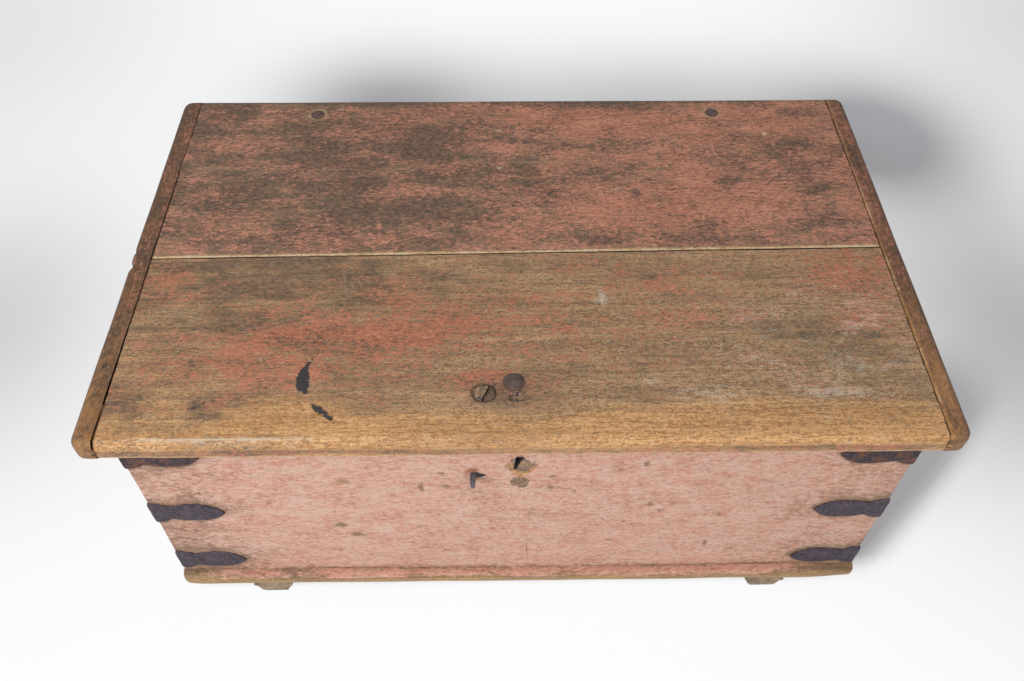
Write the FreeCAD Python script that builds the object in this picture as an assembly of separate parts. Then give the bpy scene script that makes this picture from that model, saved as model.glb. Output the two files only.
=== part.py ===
import FreeCAD, Part
import math
import os

Vector = FreeCAD.Vector
X_AXIS = Vector(1, 0, 0)
Y_AXIS = Vector(0, 1, 0)
Z_AXIS = Vector(0, 0, 1)

os.makedirs("parts", exist_ok=True)

# Driving dimensions in millimetres
# The chest stands on z = 0 with its front towards -Y, centred under its lid.

# Lid: two boards held flat by a cleat across each end
lid_length = 1200.0
lid_depth = 746.0
lid_thickness = 34.0
lid_corner_round = 18.0
lid_top_round = 13.0
lid_bottom_round = 4.0
cleat_width = 33.0
front_board_width_left = 343.0
front_board_width_right = 358.0
lid_seam_gap = 1.5
cleat_gap = 0.8
tongue_length = 11.0
tongue_thickness = 10.0
groove_clearance = 0.4

# Body: front and back boards rebated over the ends
body_height = 406.0
end_overhang = 37.0
front_overhang = 36.0
rear_overhang = 20.0
front_thickness = 24.0
back_thickness = 24.0
end_thickness = 24.0
rebate_depth = 12.0

# Base boards under the body, standing out past its ends and, in front, as a ledge
base_thickness = 26.0
base_ledge = 15.0
base_end_ledge = 7.0
base_front_width = 345.0
base_corner_round = 12.0
base_edge_round = 7.0

# Runners under the base
runner_end_in = 142.0
runner_height = 30.0
runner_top_width = 70.0
runner_bottom_width = 46.0
runner_corner_round = 9.0
runner_setback = 2.0

# Forged corner straps with leaf ends
strap_thickness = 3.0
strap_length = 110.0
strap_root_height = 58.0
strap_waist_in = 26.0
strap_waist_height = 36.0
strap_leaf_in = 68.0
strap_leaf_height = 50.0
strap_top_drop = 51.0
strap_bottom_rise = 43.0
strap_right_drop = 8.0
strap_inner_nail_in = 36.0
strap_outer_nail_in = 90.0

# Forged nails
nail_head_width = 10.0
flush_head_width = 8.0
nail_head_rise = 1.6
nail_shank_width = 4.0
nail_length = 20.0
long_nail_length = 60.0
cleat_nail_length = 52.0
leaf_nail_length = 18.0
nail_head_top_share = 0.45
nail_point_share = 0.3
base_nail_spacing = 200.0
runner_nail_spacing = 170.0
runner_nail_length = 48.0
cleat_nail_end_in = 103.0

# Strap hinges: the lid straps are let into the underside of the lid
hinge_end_in = 247.5
hinge_width = 36.0
hinge_thickness = 3.0
hinge_pin_radius = 2.4
hinge_pin_clearance = 0.06
hinge_eye_width = 14.0
hinge_eye_gap = 0.5
hinge_relief = 0.8
lid_strap_length = 290.0
lid_strap_waist_in = 70.0
lid_strap_waist = 20.0
lid_strap_leaf_in = 230.0
lid_strap_leaf = 34.0
lid_strap_nail_in = 120.0
lid_strap_end_nail_in = 245.0
back_leaf_length = 170.0
back_leaf_waist_in = 50.0
back_leaf_waist = 22.0
back_leaf_leaf_in = 125.0
back_leaf_leaf = 36.0
back_leaf_nail_in = 34.0
back_leaf_middle_nail_in = 75.0
back_leaf_end_nail_in = 140.0
hinge_rivet_inset = 46.0
hinge_rivet_head = 24.0
hinge_rivet_rise = 4.0
rivet_shank_width = 8.0

# Keyhole and the recess that its lost escutcheon left
lock_offset = -7.0
keyhole_drop = 71.0
keyhole_bow_radius = 6.5
keyhole_slot_width = 8.0
keyhole_slot_drop = 24.0
escutcheon_width = 44.0
escutcheon_above = 16.0
escutcheon_below = 41.0
escutcheon_depth = 1.2

# Box lock on the inside of the front
lock_plate_width = 160.0
lock_plate_thickness = 3.0
lock_plate_top_gap = 8.0
lock_plate_below_key = 44.0
lock_case_margin = 4.0
lock_side_margin = 10.0
lock_case_depth = 24.0
lock_case_wall = 2.0
lock_nail_margin = 5.0
lock_nail_length = 16.0
lock_nail_head = 7.0
lock_nail_shank = 3.0

# Bolt that slides through the lid's staple
bolt_thickness = 5.0
bolt_height = 9.0
bolt_length = 60.0
bolt_tail_width = 13.0
bolt_tail_drop = 38.0
bolt_foot_length = 50.0
bolt_talon_radius = 4.0
bolt_nose_gap = 4.0
bolt_clearance = 0.3
guide_width = 12.0
guide_wall = 3.0
guide_staple_gap = 6.0
keeper_width = 9.0
spring_thickness = 1.2
spring_length = 38.0

# Lid staple and the plate that holds it
staple_inset = 73.0
staple_leg = 4.0
staple_leg_spacing = 13.0
staple_reach = 36.0
staple_plate_thickness = 3.0
staple_plate_width = 44.0
staple_plate_margin = 12.0
staple_slot_clearance = 3.0
staple_wedge_length = 20.0
staple_wedge_depth = 12.0

# Lock rivet and split plug in the lid
lock_rivet_offset = -11.0
lock_rivet_inset = 100.0
lock_rivet_head = 29.0
lock_rivet_rise = 4.5
plug_offset = -52.0
plug_inset = 83.0
plug_radius = 16.0
plug_depth = 22.0
plug_gap = 0.25
plug_split = 3.0
plug_split_depth = 14.0

# Iron stub in the front board
spike_offset = -71.0
spike_drop = 105.0
spike_width = 8.0
spike_bury = 20.0
spike_reach = 9.0
spike_tip = 7.5
spike_bend_radius = 10.0
spike_bend_degrees = 25.0
spike_tip_share = 0.7

# Drop handles on the ends
handle_height = 300.0
handle_span = 120.0
handle_drop = 74.0
handle_rod_radius = 5.0
handle_bend_radius = 13.0
handle_corner_radius = 30.0
handle_stub = 14.0
handle_stand_off = 13.0
handle_clearance = 0.3
handle_eye_wall = 3.5
handle_eye_width = 9.0
handle_eye_shank = 7.0

# Overrun of every cut and the tolerance for picking edges
overrun = 5.0
pick_tolerance = 0.01

# Planes and axes worked out from the driving dimensions
half_lid = lid_length / 2
half_body = half_lid - end_overhang
half_base = half_body + base_end_ledge
base_bottom = runner_height
body_bottom = base_bottom + base_thickness
body_top = body_bottom + body_height
strap_spacing = (body_height - strap_top_drop - strap_bottom_rise) / 2
lid_top = body_top + lid_thickness
lid_front = -lid_depth / 2
lid_rear = lid_depth / 2
front_face = lid_front + front_overhang
back_face = lid_rear - rear_overhang
front_inner = front_face + front_thickness
back_inner = back_face - back_thickness
base_front = front_face - base_ledge
hinge_bore = hinge_pin_radius + hinge_pin_clearance
hinge_eye_radius = hinge_bore + hinge_thickness
hinge_y = back_face + hinge_eye_radius
hinge_z = body_top + hinge_thickness - hinge_eye_radius
keyhole_z = body_top - keyhole_drop
staple_y = lid_front + staple_inset
hinge_shoulder = hinge_y - hinge_eye_radius - hinge_relief
staple_eye_z = body_top - staple_reach + (staple_leg_spacing + staple_leg) / 2
bolt_bottom = staple_eye_z
bolt_top = bolt_bottom + bolt_height

built = {}


def keep(name, shape):
    """Store a finished piece under its name."""
    built[name] = shape


def block(x0, x1, y0, y1, z0, z1):
    """Box between two corners."""
    return Part.makeBox(x1 - x0, y1 - y0, z1 - z0, Vector(x0, y0, z0))


def prism(points, push):
    """Straight-sided outline pushed along a vector."""
    return Part.Face(Part.makePolygon([*points, points[0]])).extrude(push)


def edges_where(shape, test):
    """Edges of a shape whose bounding box passes a test."""
    return [edge for edge in shape.Edges if test(edge.BoundBox)]


def arc_from_level(start, end):
    """Three points of an arc, in (along, across), that leaves its start level."""
    along = end[0] - start[0]
    across = end[1] - start[1]
    radius = (along * along + across * across) / (2 * abs(across))
    half_turn = math.atan2(abs(across), abs(along))
    middle = (
        start[0] + math.copysign(radius * math.sin(half_turn), along),
        start[1] + math.copysign(radius * (1 - math.cos(half_turn)), across),
    )
    return start, middle, end


def leaf_face(at, along, across, length, root, waist_in, waist, leaf_in, leaf):
    """Outline of a forged leaf strap: a root that falls to a notched waist, a full leaf and a point."""
    root_point = (0, root / 2)
    waist_point = (waist_in, waist / 2)
    leaf_point = (leaf_in, leaf / 2)
    half = [
        arc_from_level(root_point, waist_point),
        arc_from_level(leaf_point, waist_point),
        arc_from_level(leaf_point, (length, 0)),
    ]
    edges = []
    for side in (1, -1):
        for arc in half:
            points = [at + along * u + across * (v * side) for u, v in arc]
            edges.append(Part.Arc(*points).toShape())
    corners = [at + across * (root / 2), at - across * (root / 2)]
    edges.append(Part.LineSegment(*corners).toShape())
    return Part.Face(Part.Wire(Part.__sortEdges__(edges)))


def square_wire(width, z):
    """Square outline of a given width, centred on the Z axis."""
    half = width / 2
    corners = [(-half, -half), (half, -half), (half, half), (-half, half), (-half, -half)]
    return Part.makePolygon([Vector(x, y, z) for x, y in corners])


def nail(at, inward, head=nail_head_width, length=nail_length, shank=nail_shank_width, sunk=False):
    """Forged nail: faceted head over a square shank that tapers to its point."""
    tops = [square_wire(head, 0), square_wire(head * nail_head_top_share, nail_head_rise)]
    shanks = [square_wire(shank, 0), square_wire(shank * nail_point_share, -length)]
    shape = Part.makeLoft(tops, True, True).fuse(Part.makeLoft(shanks, True, True)).removeSplitter()
    seat = at + inward * nail_head_rise if sunk else at
    shape.Placement = FreeCAD.Placement(seat, FreeCAD.Rotation(-Z_AXIS, inward))
    return shape


def rivet(at, head, rise, length):
    """Rivet with a domed head on top and a square shank going down."""
    rim = Vector(head / 2, 0, 0)
    crown = Vector(0, 0, rise)
    dome_radius = (head * head / 4 + rise * rise) / (2 * rise)
    half_turn = math.atan2(rise, head / 2)
    shoulder = Vector(dome_radius * math.sin(half_turn), 0, rise - dome_radius * (1 - math.cos(half_turn)))
    edges = [
        Part.Arc(crown, shoulder, rim).toShape(),
        Part.LineSegment(rim, Vector(0, 0, 0)).toShape(),
        Part.LineSegment(Vector(0, 0, 0), crown).toShape(),
    ]
    dome = Part.Face(Part.Wire(edges)).revolve(Vector(0, 0, 0), Z_AXIS, 360)
    half = rivet_shank_width / 2
    shape = dome.fuse(block(-half, half, -half, half, -length, 0)).removeSplitter()
    shape.translate(at)
    return shape


def eye(at, axis, outer, inner, width):
    """Ring rolled round an axis, centred at a point."""
    start = at - axis * (width / 2)
    return Part.makeCylinder(outer, width, start, axis).cut(Part.makeCylinder(inner, width, start, axis))


# Lid: one rounded slab parted into boards and cleats
slab = block(-half_lid, half_lid, lid_front, lid_rear, body_top, lid_top)
upright = edges_where(slab, lambda box: box.XLength + box.YLength < pick_tolerance)
slab = slab.makeFillet(lid_corner_round, upright)
rim = edges_where(slab, lambda box: box.ZMin > lid_top - pick_tolerance)
slab = slab.makeFillet(lid_top_round, rim)
foot = edges_where(slab, lambda box: box.ZMax < body_top + pick_tolerance)
slab = slab.makeFillet(lid_bottom_round, foot)

seam_x = half_lid - cleat_width
board_x = seam_x - cleat_gap
joint_left = lid_front + front_board_width_left
joint_right = lid_front + front_board_width_right
joint_slope = (joint_right - joint_left) / (2 * seam_x)
tongue_low = body_top + (lid_thickness - tongue_thickness) / 2
tongue_high = tongue_low + tongue_thickness


def joint_y(x):
    """Place of the askew joint between the lid boards at a given length along it."""
    return joint_left + (x + seam_x) * joint_slope


def lid_zone(reach_x, near_offset, far_offset, low, high):
    """Plan zone across the boards, between two offsets from the joint, cut from the lid's slab."""
    ends = (-reach_x, reach_x)
    corners = [(x, near_offset) for x in ends] + [(x, far_offset) for x in reversed(ends)]
    points = [Vector(x, joint_y(x) + offset, low) for x, offset in corners]
    return slab.common(prism(points, Z_AXIS * (high - low)))


half_gap = lid_seam_gap / 2
tongue_x = seam_x + tongue_length
front_body = lid_zone(board_x, -lid_depth, -half_gap, body_top, lid_top)
front_ends = lid_zone(tongue_x, -lid_depth, -half_gap, tongue_low, tongue_high)
long_tongue = lid_zone(
    board_x, -half_gap - tongue_length, half_gap + tongue_length, tongue_low, tongue_high
)
rear_body = lid_zone(board_x, half_gap, lid_depth, body_top, lid_top)
rear_ends = lid_zone(tongue_x, half_gap, lid_depth, tongue_low, tongue_high)
long_groove = lid_zone(
    board_x, -half_gap, half_gap + tongue_length + groove_clearance, tongue_low, tongue_high
)
end_groove_gap = lid_zone(
    tongue_x, half_gap, half_gap + tongue_length + groove_clearance, tongue_low, tongue_high
)
lid_front_board = front_body.fuse([front_ends, long_tongue]).removeSplitter()
lid_rear_board = rear_body.fuse(rear_ends).removeSplitter().cut([long_groove, end_groove_gap])

lid_cleats = {}
for side, sign in (("left", -1), ("right", 1)):
    inner, outer = sorted((sign * seam_x, sign * (half_lid + overrun)))
    cleat = slab.common(block(inner, outer, lid_front - overrun, lid_rear + overrun, body_top, lid_top))
    inner, outer = sorted((sign * (seam_x - overrun), sign * (tongue_x + groove_clearance)))
    groove = block(inner, outer, lid_front - overrun, lid_rear + overrun, tongue_low, tongue_high)
    lid_cleats[side] = cleat.cut(groove)

# Cleat nails driven through the cleats' outer edges into the tongues
cleat_nails = []
cleat_nail_reach = lid_depth / 2 - cleat_nail_end_in
for sign in (-1, 1):
    for step in (-1, 0, 1):
        at = Vector(sign * half_lid, step * cleat_nail_reach, (tongue_low + tongue_high) / 2)
        cleat_nails.append(nail(at, X_AXIS * -sign, flush_head_width, cleat_nail_length, sunk=True))

# Hinges: rolled eyes on a pin behind the top of the back board
lid_straps = {}
back_leaves = {}
hinge_pins = {}
hinge_rivets = []
lid_strap_nails = []
hinge_leaf_nails = []
lid_pockets = []
back_reliefs = []
back_eye_width = (hinge_width - hinge_eye_width) / 2 - hinge_eye_gap
back_leaf_top = hinge_z - hinge_eye_radius - hinge_relief
for side, sign in (("left", -1), ("right", 1)):
    x = sign * (half_lid - hinge_end_in)
    axis_point = Vector(x, hinge_y, hinge_z)
    shoulder = Vector(x, hinge_shoulder, body_top)
    strap = leaf_face(
        shoulder, -Y_AXIS, X_AXIS, lid_strap_length, hinge_width,
        lid_strap_waist_in, lid_strap_waist, lid_strap_leaf_in, lid_strap_leaf,
    ).extrude(Z_AXIS * hinge_thickness)
    lid_pockets.append(strap)
    half_eye = hinge_eye_width / 2
    neck = block(
        x - half_eye, x + half_eye, hinge_shoulder, hinge_y, body_top, body_top + hinge_thickness
    )
    lid_eye = eye(axis_point, X_AXIS, hinge_eye_radius, hinge_bore, hinge_eye_width)
    lid_straps[side] = strap.fuse([neck, lid_eye]).removeSplitter()
    half_pocket = hinge_width / 2 + hinge_relief
    lid_pockets.append(block(
        x - half_pocket, x + half_pocket, hinge_shoulder, lid_rear + overrun,
        body_top - overrun, body_top + hinge_thickness + hinge_relief,
    ))
    half_relief = half_eye + hinge_eye_gap
    back_reliefs.append(block(
        x - half_relief, x + half_relief, back_face - hinge_relief, back_face + overrun,
        back_leaf_top, body_top + overrun,
    ))
    leaf = leaf_face(
        Vector(x, back_face, back_leaf_top), -Z_AXIS, X_AXIS, back_leaf_length, hinge_width,
        back_leaf_waist_in, back_leaf_waist, back_leaf_leaf_in, back_leaf_leaf,
    ).extrude(Y_AXIS * hinge_thickness)
    knuckles = []
    for outward in (-1, 1):
        middle = x + outward * (hinge_width - back_eye_width) / 2
        knuckles.append(eye(
            Vector(middle, hinge_y, hinge_z), X_AXIS, hinge_eye_radius, hinge_bore, back_eye_width
        ))
        knuckles.append(block(
            middle - back_eye_width / 2, middle + back_eye_width / 2,
            back_face, back_face + hinge_thickness, back_leaf_top, hinge_z,
        ))
    back_leaves[side] = leaf.fuse(knuckles).removeSplitter()
    pin_start = axis_point - X_AXIS * (hinge_width / 2)
    hinge_pins[side] = Part.makeCylinder(hinge_pin_radius, hinge_width, pin_start, X_AXIS)
    rivet_at = Vector(x, lid_rear - hinge_rivet_inset, lid_top)
    hinge_rivets.append(rivet(rivet_at, hinge_rivet_head, hinge_rivet_rise, lid_thickness))
    for along in (lid_strap_nail_in, lid_strap_end_nail_in):
        lid_strap_nails.append(nail(shoulder - Y_AXIS * along, Z_AXIS, length=leaf_nail_length))
    for drop in (back_leaf_nail_in, back_leaf_middle_nail_in, back_leaf_end_nail_in):
        at = Vector(x, back_face + hinge_thickness, back_leaf_top - drop)
        hinge_leaf_nails.append(nail(at, -Y_AXIS, length=leaf_nail_length))

# Lid staple, its plate, the lock rivet, the split plug and the wedge between the staple's legs
outer_bend = (staple_leg_spacing + staple_leg) / 2
inner_bend = (staple_leg_spacing - staple_leg) / 2
staple_left = lock_offset - staple_leg / 2


def bow_outline(half_width):
    """Outline of one side of the staple: two straight legs joined by a half-round bow."""
    front_top = Vector(staple_left, staple_y - half_width, lid_top)
    front_low = Vector(staple_left, staple_y - half_width, staple_eye_z)
    lowest = Vector(staple_left, staple_y, staple_eye_z - half_width)
    back_low = Vector(staple_left, staple_y + half_width, staple_eye_z)
    back_top = Vector(staple_left, staple_y + half_width, lid_top)
    edges = [
        Part.LineSegment(front_top, front_low).toShape(),
        Part.Arc(front_low, lowest, back_low).toShape(),
        Part.LineSegment(back_low, back_top).toShape(),
        Part.LineSegment(back_top, front_top).toShape(),
    ]
    return Part.Face(Part.Wire(edges)).extrude(X_AXIS * staple_leg)


lock_staple = bow_outline(outer_bend).cut(bow_outline(inner_bend))
rivet_y = lid_front + lock_rivet_inset
staple_plate = block(
    lock_offset - staple_plate_width / 2, lock_offset + staple_plate_width / 2,
    staple_y - staple_plate_margin, rivet_y + staple_plate_margin,
    body_top, body_top + staple_plate_thickness,
)
rivet_at = Vector(lock_rivet_offset, rivet_y, lid_top)
lock_rivet = rivet(rivet_at, lock_rivet_head, lock_rivet_rise, lid_thickness)
staple_wedge = block(
    lock_offset - staple_wedge_length / 2, lock_offset + staple_wedge_length / 2,
    staple_y - inner_bend, staple_y + inner_bend, lid_top - staple_wedge_depth, lid_top,
)
plug_foot = Vector(plug_offset, lid_front + plug_inset, lid_top - plug_depth)
plug_hole = Part.makeCylinder(plug_radius + plug_gap, plug_depth + overrun, plug_foot)
split = block(
    plug_offset - plug_split / 2, plug_offset + plug_split / 2,
    plug_foot.y - plug_radius - overrun, plug_foot.y + plug_radius + overrun,
    lid_top - plug_split_depth, lid_top + overrun,
)
lid_plug = Part.makeCylinder(plug_radius, plug_depth, plug_foot).cut(split)

lid_iron = [lock_staple, staple_plate, lock_rivet, staple_wedge, plug_hole]
lid_iron += lid_pockets + hinge_rivets + lid_strap_nails + cleat_nails
staple_plate = staple_plate.cut([lock_staple, lock_rivet])
keep("lid_front_board", lid_front_board.cut(lid_iron))
keep("lid_rear_board", lid_rear_board.cut(lid_iron))
for side, cleat in lid_cleats.items():
    keep(f"lid_{side}_cleat", cleat.cut(cleat_nails))
    keep(f"{side}_hinge_lid_strap", lid_straps[side].cut(lid_strap_nails + hinge_rivets))
    keep(f"{side}_hinge_pin", hinge_pins[side])
    keep(f"{side}_hinge_back_leaf", back_leaves[side].cut(hinge_leaf_nails))
keep("cleat_nails", Part.makeCompound(cleat_nails))
keep("hinge_rivets", Part.makeCompound(hinge_rivets))
keep("lid_strap_nails", Part.makeCompound(lid_strap_nails))
keep("hinge_leaf_nails", Part.makeCompound(hinge_leaf_nails))
keep("lock_staple", lock_staple)
keep("staple_plate", staple_plate)
keep("lock_rivet", lock_rivet)
keep("lid_plug", lid_plug)
keep("staple_wedge", staple_wedge)

# Corner straps wrapped round the four corners, with their nails
straps = {}
strap_nails = []
corner_nails = []
for face, turn, plane in (("front", -1, front_face), ("back", 1, back_face)):
    for side, sign in (("left", -1), ("right", 1)):
        corner = Vector(sign * half_body, plane, 0)
        top_z = body_top - strap_top_drop - (strap_right_drop if sign > 0 else 0)
        for step, level in enumerate(("top", "middle", "bottom")):
            at = corner + Z_AXIS * (top_z - step * strap_spacing)
            legs = []
            for along, outward in ((X_AXIS * -sign, Y_AXIS * turn), (Y_AXIS * -turn, X_AXIS * sign)):
                legs.append(leaf_face(
                    at, along, Z_AXIS, strap_length, strap_root_height,
                    strap_waist_in, strap_waist_height, strap_leaf_in, strap_leaf_height,
                ).extrude(outward * strap_thickness))
                for distance in (strap_inner_nail_in, strap_outer_nail_in):
                    strap_nails.append(nail(at + along * distance + outward * strap_thickness, -outward))
            bend_foot = at - Z_AXIS * (strap_root_height / 2)
            bend = Part.makeCylinder(strap_thickness, strap_root_height, bend_foot)
            quarter = [
                bend_foot,
                bend_foot + X_AXIS * (sign * strap_thickness),
                bend_foot + X_AXIS * (sign * strap_thickness) + Y_AXIS * (turn * strap_thickness),
                bend_foot + Y_AXIS * (turn * strap_thickness),
            ]
            bend = bend.common(prism(quarter, Z_AXIS * strap_root_height))
            straps[f"{face}_{side}_{level}_strap"] = legs[0].fuse([legs[1], bend]).removeSplitter()
            if step:
                between = at + Z_AXIS * (strap_spacing / 2) - X_AXIS * (sign * end_thickness / 2)
                corner_nails.append(nail(
                    between, Y_AXIS * -turn, flush_head_width, long_nail_length, sunk=True
                ))
for name, strap in straps.items():
    keep(name, strap.cut(strap_nails))
keep("strap_nails", Part.makeCompound(strap_nails))
keep("corner_nails", Part.makeCompound(corner_nails))

# Base boards and runners, with the nails that hold them
base_seam = base_front + base_front_width
base_front_board = block(-half_base, half_base, base_front, base_seam, base_bottom, body_bottom)
front_corners = edges_where(
    base_front_board,
    lambda box: box.XLength + box.YLength < pick_tolerance and box.YMax < base_seam - pick_tolerance,
)
base_front_board = base_front_board.makeFillet(base_corner_round, front_corners)
front_edges = edges_where(
    base_front_board,
    lambda box: box.ZLength < pick_tolerance and box.YMax < base_front + pick_tolerance,
)
base_front_board = base_front_board.makeFillet(base_edge_round, front_edges)
base_rear_board = block(-half_base, half_base, base_seam, back_face, base_bottom, body_bottom)

base_nails = []
for step in (-1.5, -0.5, 0.5, 1.5):
    for y in (front_face + front_thickness / 2, back_face - back_thickness / 2):
        at = Vector(step * base_nail_spacing, y, base_bottom)
        base_nails.append(nail(at, Z_AXIS, flush_head_width, long_nail_length, sunk=True))
for sign in (-1, 1):
    for step in (-1, 1):
        at = Vector(sign * (half_body - end_thickness / 2), step * base_nail_spacing, base_bottom)
        base_nails.append(nail(at, Z_AXIS, flush_head_width, long_nail_length, sunk=True))

runner_nails = []
runners = {}
for side, sign in (("left", -1), ("right", 1)):
    x = sign * (half_body - runner_end_in)
    section = [
        (x - runner_bottom_width / 2, 0),
        (x + runner_bottom_width / 2, 0),
        (x + runner_top_width / 2, base_bottom),
        (x - runner_top_width / 2, base_bottom),
    ]
    start = base_front + runner_setback
    run = back_face - runner_setback - start
    runner = prism([Vector(u, start, z) for u, z in section], Y_AXIS * run)
    low_edges = edges_where(runner, lambda box: box.ZMax < pick_tolerance and box.YLength > pick_tolerance)
    runners[side] = runner.makeFillet(runner_corner_round, low_edges)
    for step in (-1.5, -0.5, 0.5, 1.5):
        at = Vector(x, step * runner_nail_spacing, body_bottom)
        runner_nails.append(nail(at, -Z_AXIS, flush_head_width, runner_nail_length, sunk=True))
    keep(f"{side}_runner", runners[side].cut(runner_nails))
keep("base_front_board", base_front_board.cut(base_nails + runner_nails))
keep("base_rear_board", base_rear_board.cut(base_nails + runner_nails))
keep("base_nails", Part.makeCompound(base_nails))
keep("runner_nails", Part.makeCompound(runner_nails))

# Box lock: plate with bolt guides, case, sliding bolt and its spring
plate_face = front_inner + lock_plate_thickness
plate_left = lock_offset - lock_plate_width / 2
plate_right = lock_offset + lock_plate_width / 2
plate_low = keyhole_z - lock_plate_below_key
plate_high = body_top - lock_plate_top_gap
case_left = plate_left + lock_side_margin
case_right = plate_right - lock_side_margin
case_low = plate_low + lock_case_margin
case_high = plate_high - lock_case_margin
case_back = plate_face + lock_case_depth
staple_edge = staple_leg / 2
bolt_near = staple_y - bolt_thickness / 2
bolt_far = staple_y + bolt_thickness / 2
bolt_tip = lock_offset - staple_edge - bolt_nose_gap
bolt_rear = bolt_tip - bolt_length


def keyhole(near, far):
    """Cutter of keyhole shape between two planes: a round bow over a straight slot."""
    bow = Part.makeCylinder(keyhole_bow_radius, far - near, Vector(lock_offset, near, keyhole_z), Y_AXIS)
    half = keyhole_slot_width / 2
    slot_low = keyhole_z - keyhole_slot_drop
    slot = block(lock_offset - half, lock_offset + half, near, far, slot_low, keyhole_z)
    return bow.fuse(slot).removeSplitter()


def guide(left, right):
    """Block on the lock plate with a window that the bolt slides through."""
    outer = block(
        left, right, plate_face, bolt_far + bolt_clearance + guide_wall,
        bolt_bottom - bolt_clearance - guide_wall, bolt_top + bolt_clearance + guide_wall,
    )
    window = block(
        left - overrun, right + overrun, bolt_near - bolt_clearance, bolt_far + bolt_clearance,
        bolt_bottom - bolt_clearance, bolt_top + bolt_clearance,
    )
    return outer.cut(window)


guide_right = lock_offset - staple_edge - guide_staple_gap
keeper_left = lock_offset + staple_edge + guide_staple_gap
lock_plate = block(plate_left, plate_right, front_inner, plate_face, plate_low, plate_high)
lock_plate = lock_plate.cut(keyhole(front_inner - overrun, plate_face + overrun))
lock_plate = lock_plate.fuse([
    guide(guide_right - guide_width, guide_right), guide(keeper_left, keeper_left + keeper_width)
]).removeSplitter()

lock_case = block(case_left, case_right, plate_face, case_back, case_low, case_high)
lock_case = lock_case.cut(block(
    case_left + lock_case_wall, case_right - lock_case_wall, plate_face - overrun,
    case_back - lock_case_wall, case_low + lock_case_wall, case_high - lock_case_wall,
))
half_slot = staple_edge + staple_slot_clearance
slot_back = staple_y + outer_bend + staple_slot_clearance
lock_case = lock_case.cut(block(
    lock_offset - half_slot, lock_offset + half_slot, plate_face - overrun, slot_back,
    case_high - lock_case_wall - overrun, case_high + overrun,
))

foot_low = bolt_bottom - bolt_tail_drop
bolt_outline = [
    (bolt_tip, bolt_top),
    (bolt_rear, bolt_top),
    (bolt_rear, foot_low),
    (bolt_rear + bolt_foot_length, foot_low),
    (bolt_rear + bolt_foot_length, foot_low + bolt_height),
    (bolt_rear + bolt_tail_width, foot_low + bolt_height),
    (bolt_rear + bolt_tail_width, bolt_bottom),
    (bolt_tip, bolt_bottom),
]
lock_bolt = prism([Vector(x, bolt_near, z) for x, z in bolt_outline], Y_AXIS * bolt_thickness)
talon_at = Vector(bolt_rear + bolt_foot_length - 2 * bolt_talon_radius, bolt_near - overrun, foot_low)
talon = Part.makeCylinder(bolt_talon_radius, bolt_thickness + 2 * overrun, talon_at, Y_AXIS)
lock_bolt = lock_bolt.cut(talon)

spring_right = guide_right - guide_width - bolt_clearance
spring_left = spring_right - spring_length
spring_middle = (spring_left + spring_right) / 2
spring_high = case_high - lock_case_wall
spring_low = bolt_top + bolt_clearance
spring_edges = [
    Part.Arc(
        Vector(spring_left, bolt_near, spring_high),
        Vector(spring_middle, bolt_near, spring_low + spring_thickness),
        Vector(spring_right, bolt_near, spring_high),
    ).toShape(),
    Part.Arc(
        Vector(spring_left, bolt_near, spring_high - spring_thickness),
        Vector(spring_middle, bolt_near, spring_low),
        Vector(spring_right, bolt_near, spring_high - spring_thickness),
    ).toShape(),
]
for x in (spring_left, spring_right):
    ends = Vector(x, bolt_near, spring_high), Vector(x, bolt_near, spring_high - spring_thickness)
    spring_edges.append(Part.LineSegment(*ends).toShape())
spring_wire = Part.Wire(Part.__sortEdges__(spring_edges))
lock_spring = Part.Face(spring_wire).extrude(Y_AXIS * bolt_thickness)

lock_nails = []
for x in (plate_left + lock_nail_margin, plate_right - lock_nail_margin):
    for z in (plate_low + lock_nail_margin, plate_high - lock_nail_margin):
        lock_nails.append(nail(
            Vector(x, plate_face, z), -Y_AXIS, lock_nail_head, lock_nail_length, lock_nail_shank
        ))
keep("lock_plate", lock_plate.cut(lock_nails))
keep("lock_case", lock_case)
keep("lock_bolt", lock_bolt)
keep("lock_spring", lock_spring)
keep("lock_nails", Part.makeCompound(lock_nails))

# Iron stub left in the front board, drooping a little at its end
spike_z = body_top - spike_drop
half_spike = spike_width / 2
spike_end = front_face - spike_reach
front_spike = block(
    spike_offset - half_spike, spike_offset + half_spike, spike_end, front_face + spike_bury,
    spike_z - half_spike, spike_z + half_spike,
)
spike_placement = FreeCAD.Placement(
    Vector(spike_offset, spike_end, spike_z), FreeCAD.Rotation(Z_AXIS, -Y_AXIS)
)
bend_centre = Vector(spike_offset, spike_end, spike_z - spike_bend_radius)
bend_face = Part.Face(square_wire(spike_width, 0))
bend_face.Placement = spike_placement
tip = Part.makeLoft(
    [square_wire(spike_width, 0), square_wire(spike_width * spike_tip_share, spike_tip)], True, True
)
tip.Placement = spike_placement
tip.rotate(bend_centre, X_AXIS, spike_bend_degrees)
front_spike = front_spike.fuse([bend_face.revolve(bend_centre, X_AXIS, spike_bend_degrees), tip])
keep("front_spike", front_spike.removeSplitter())

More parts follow.
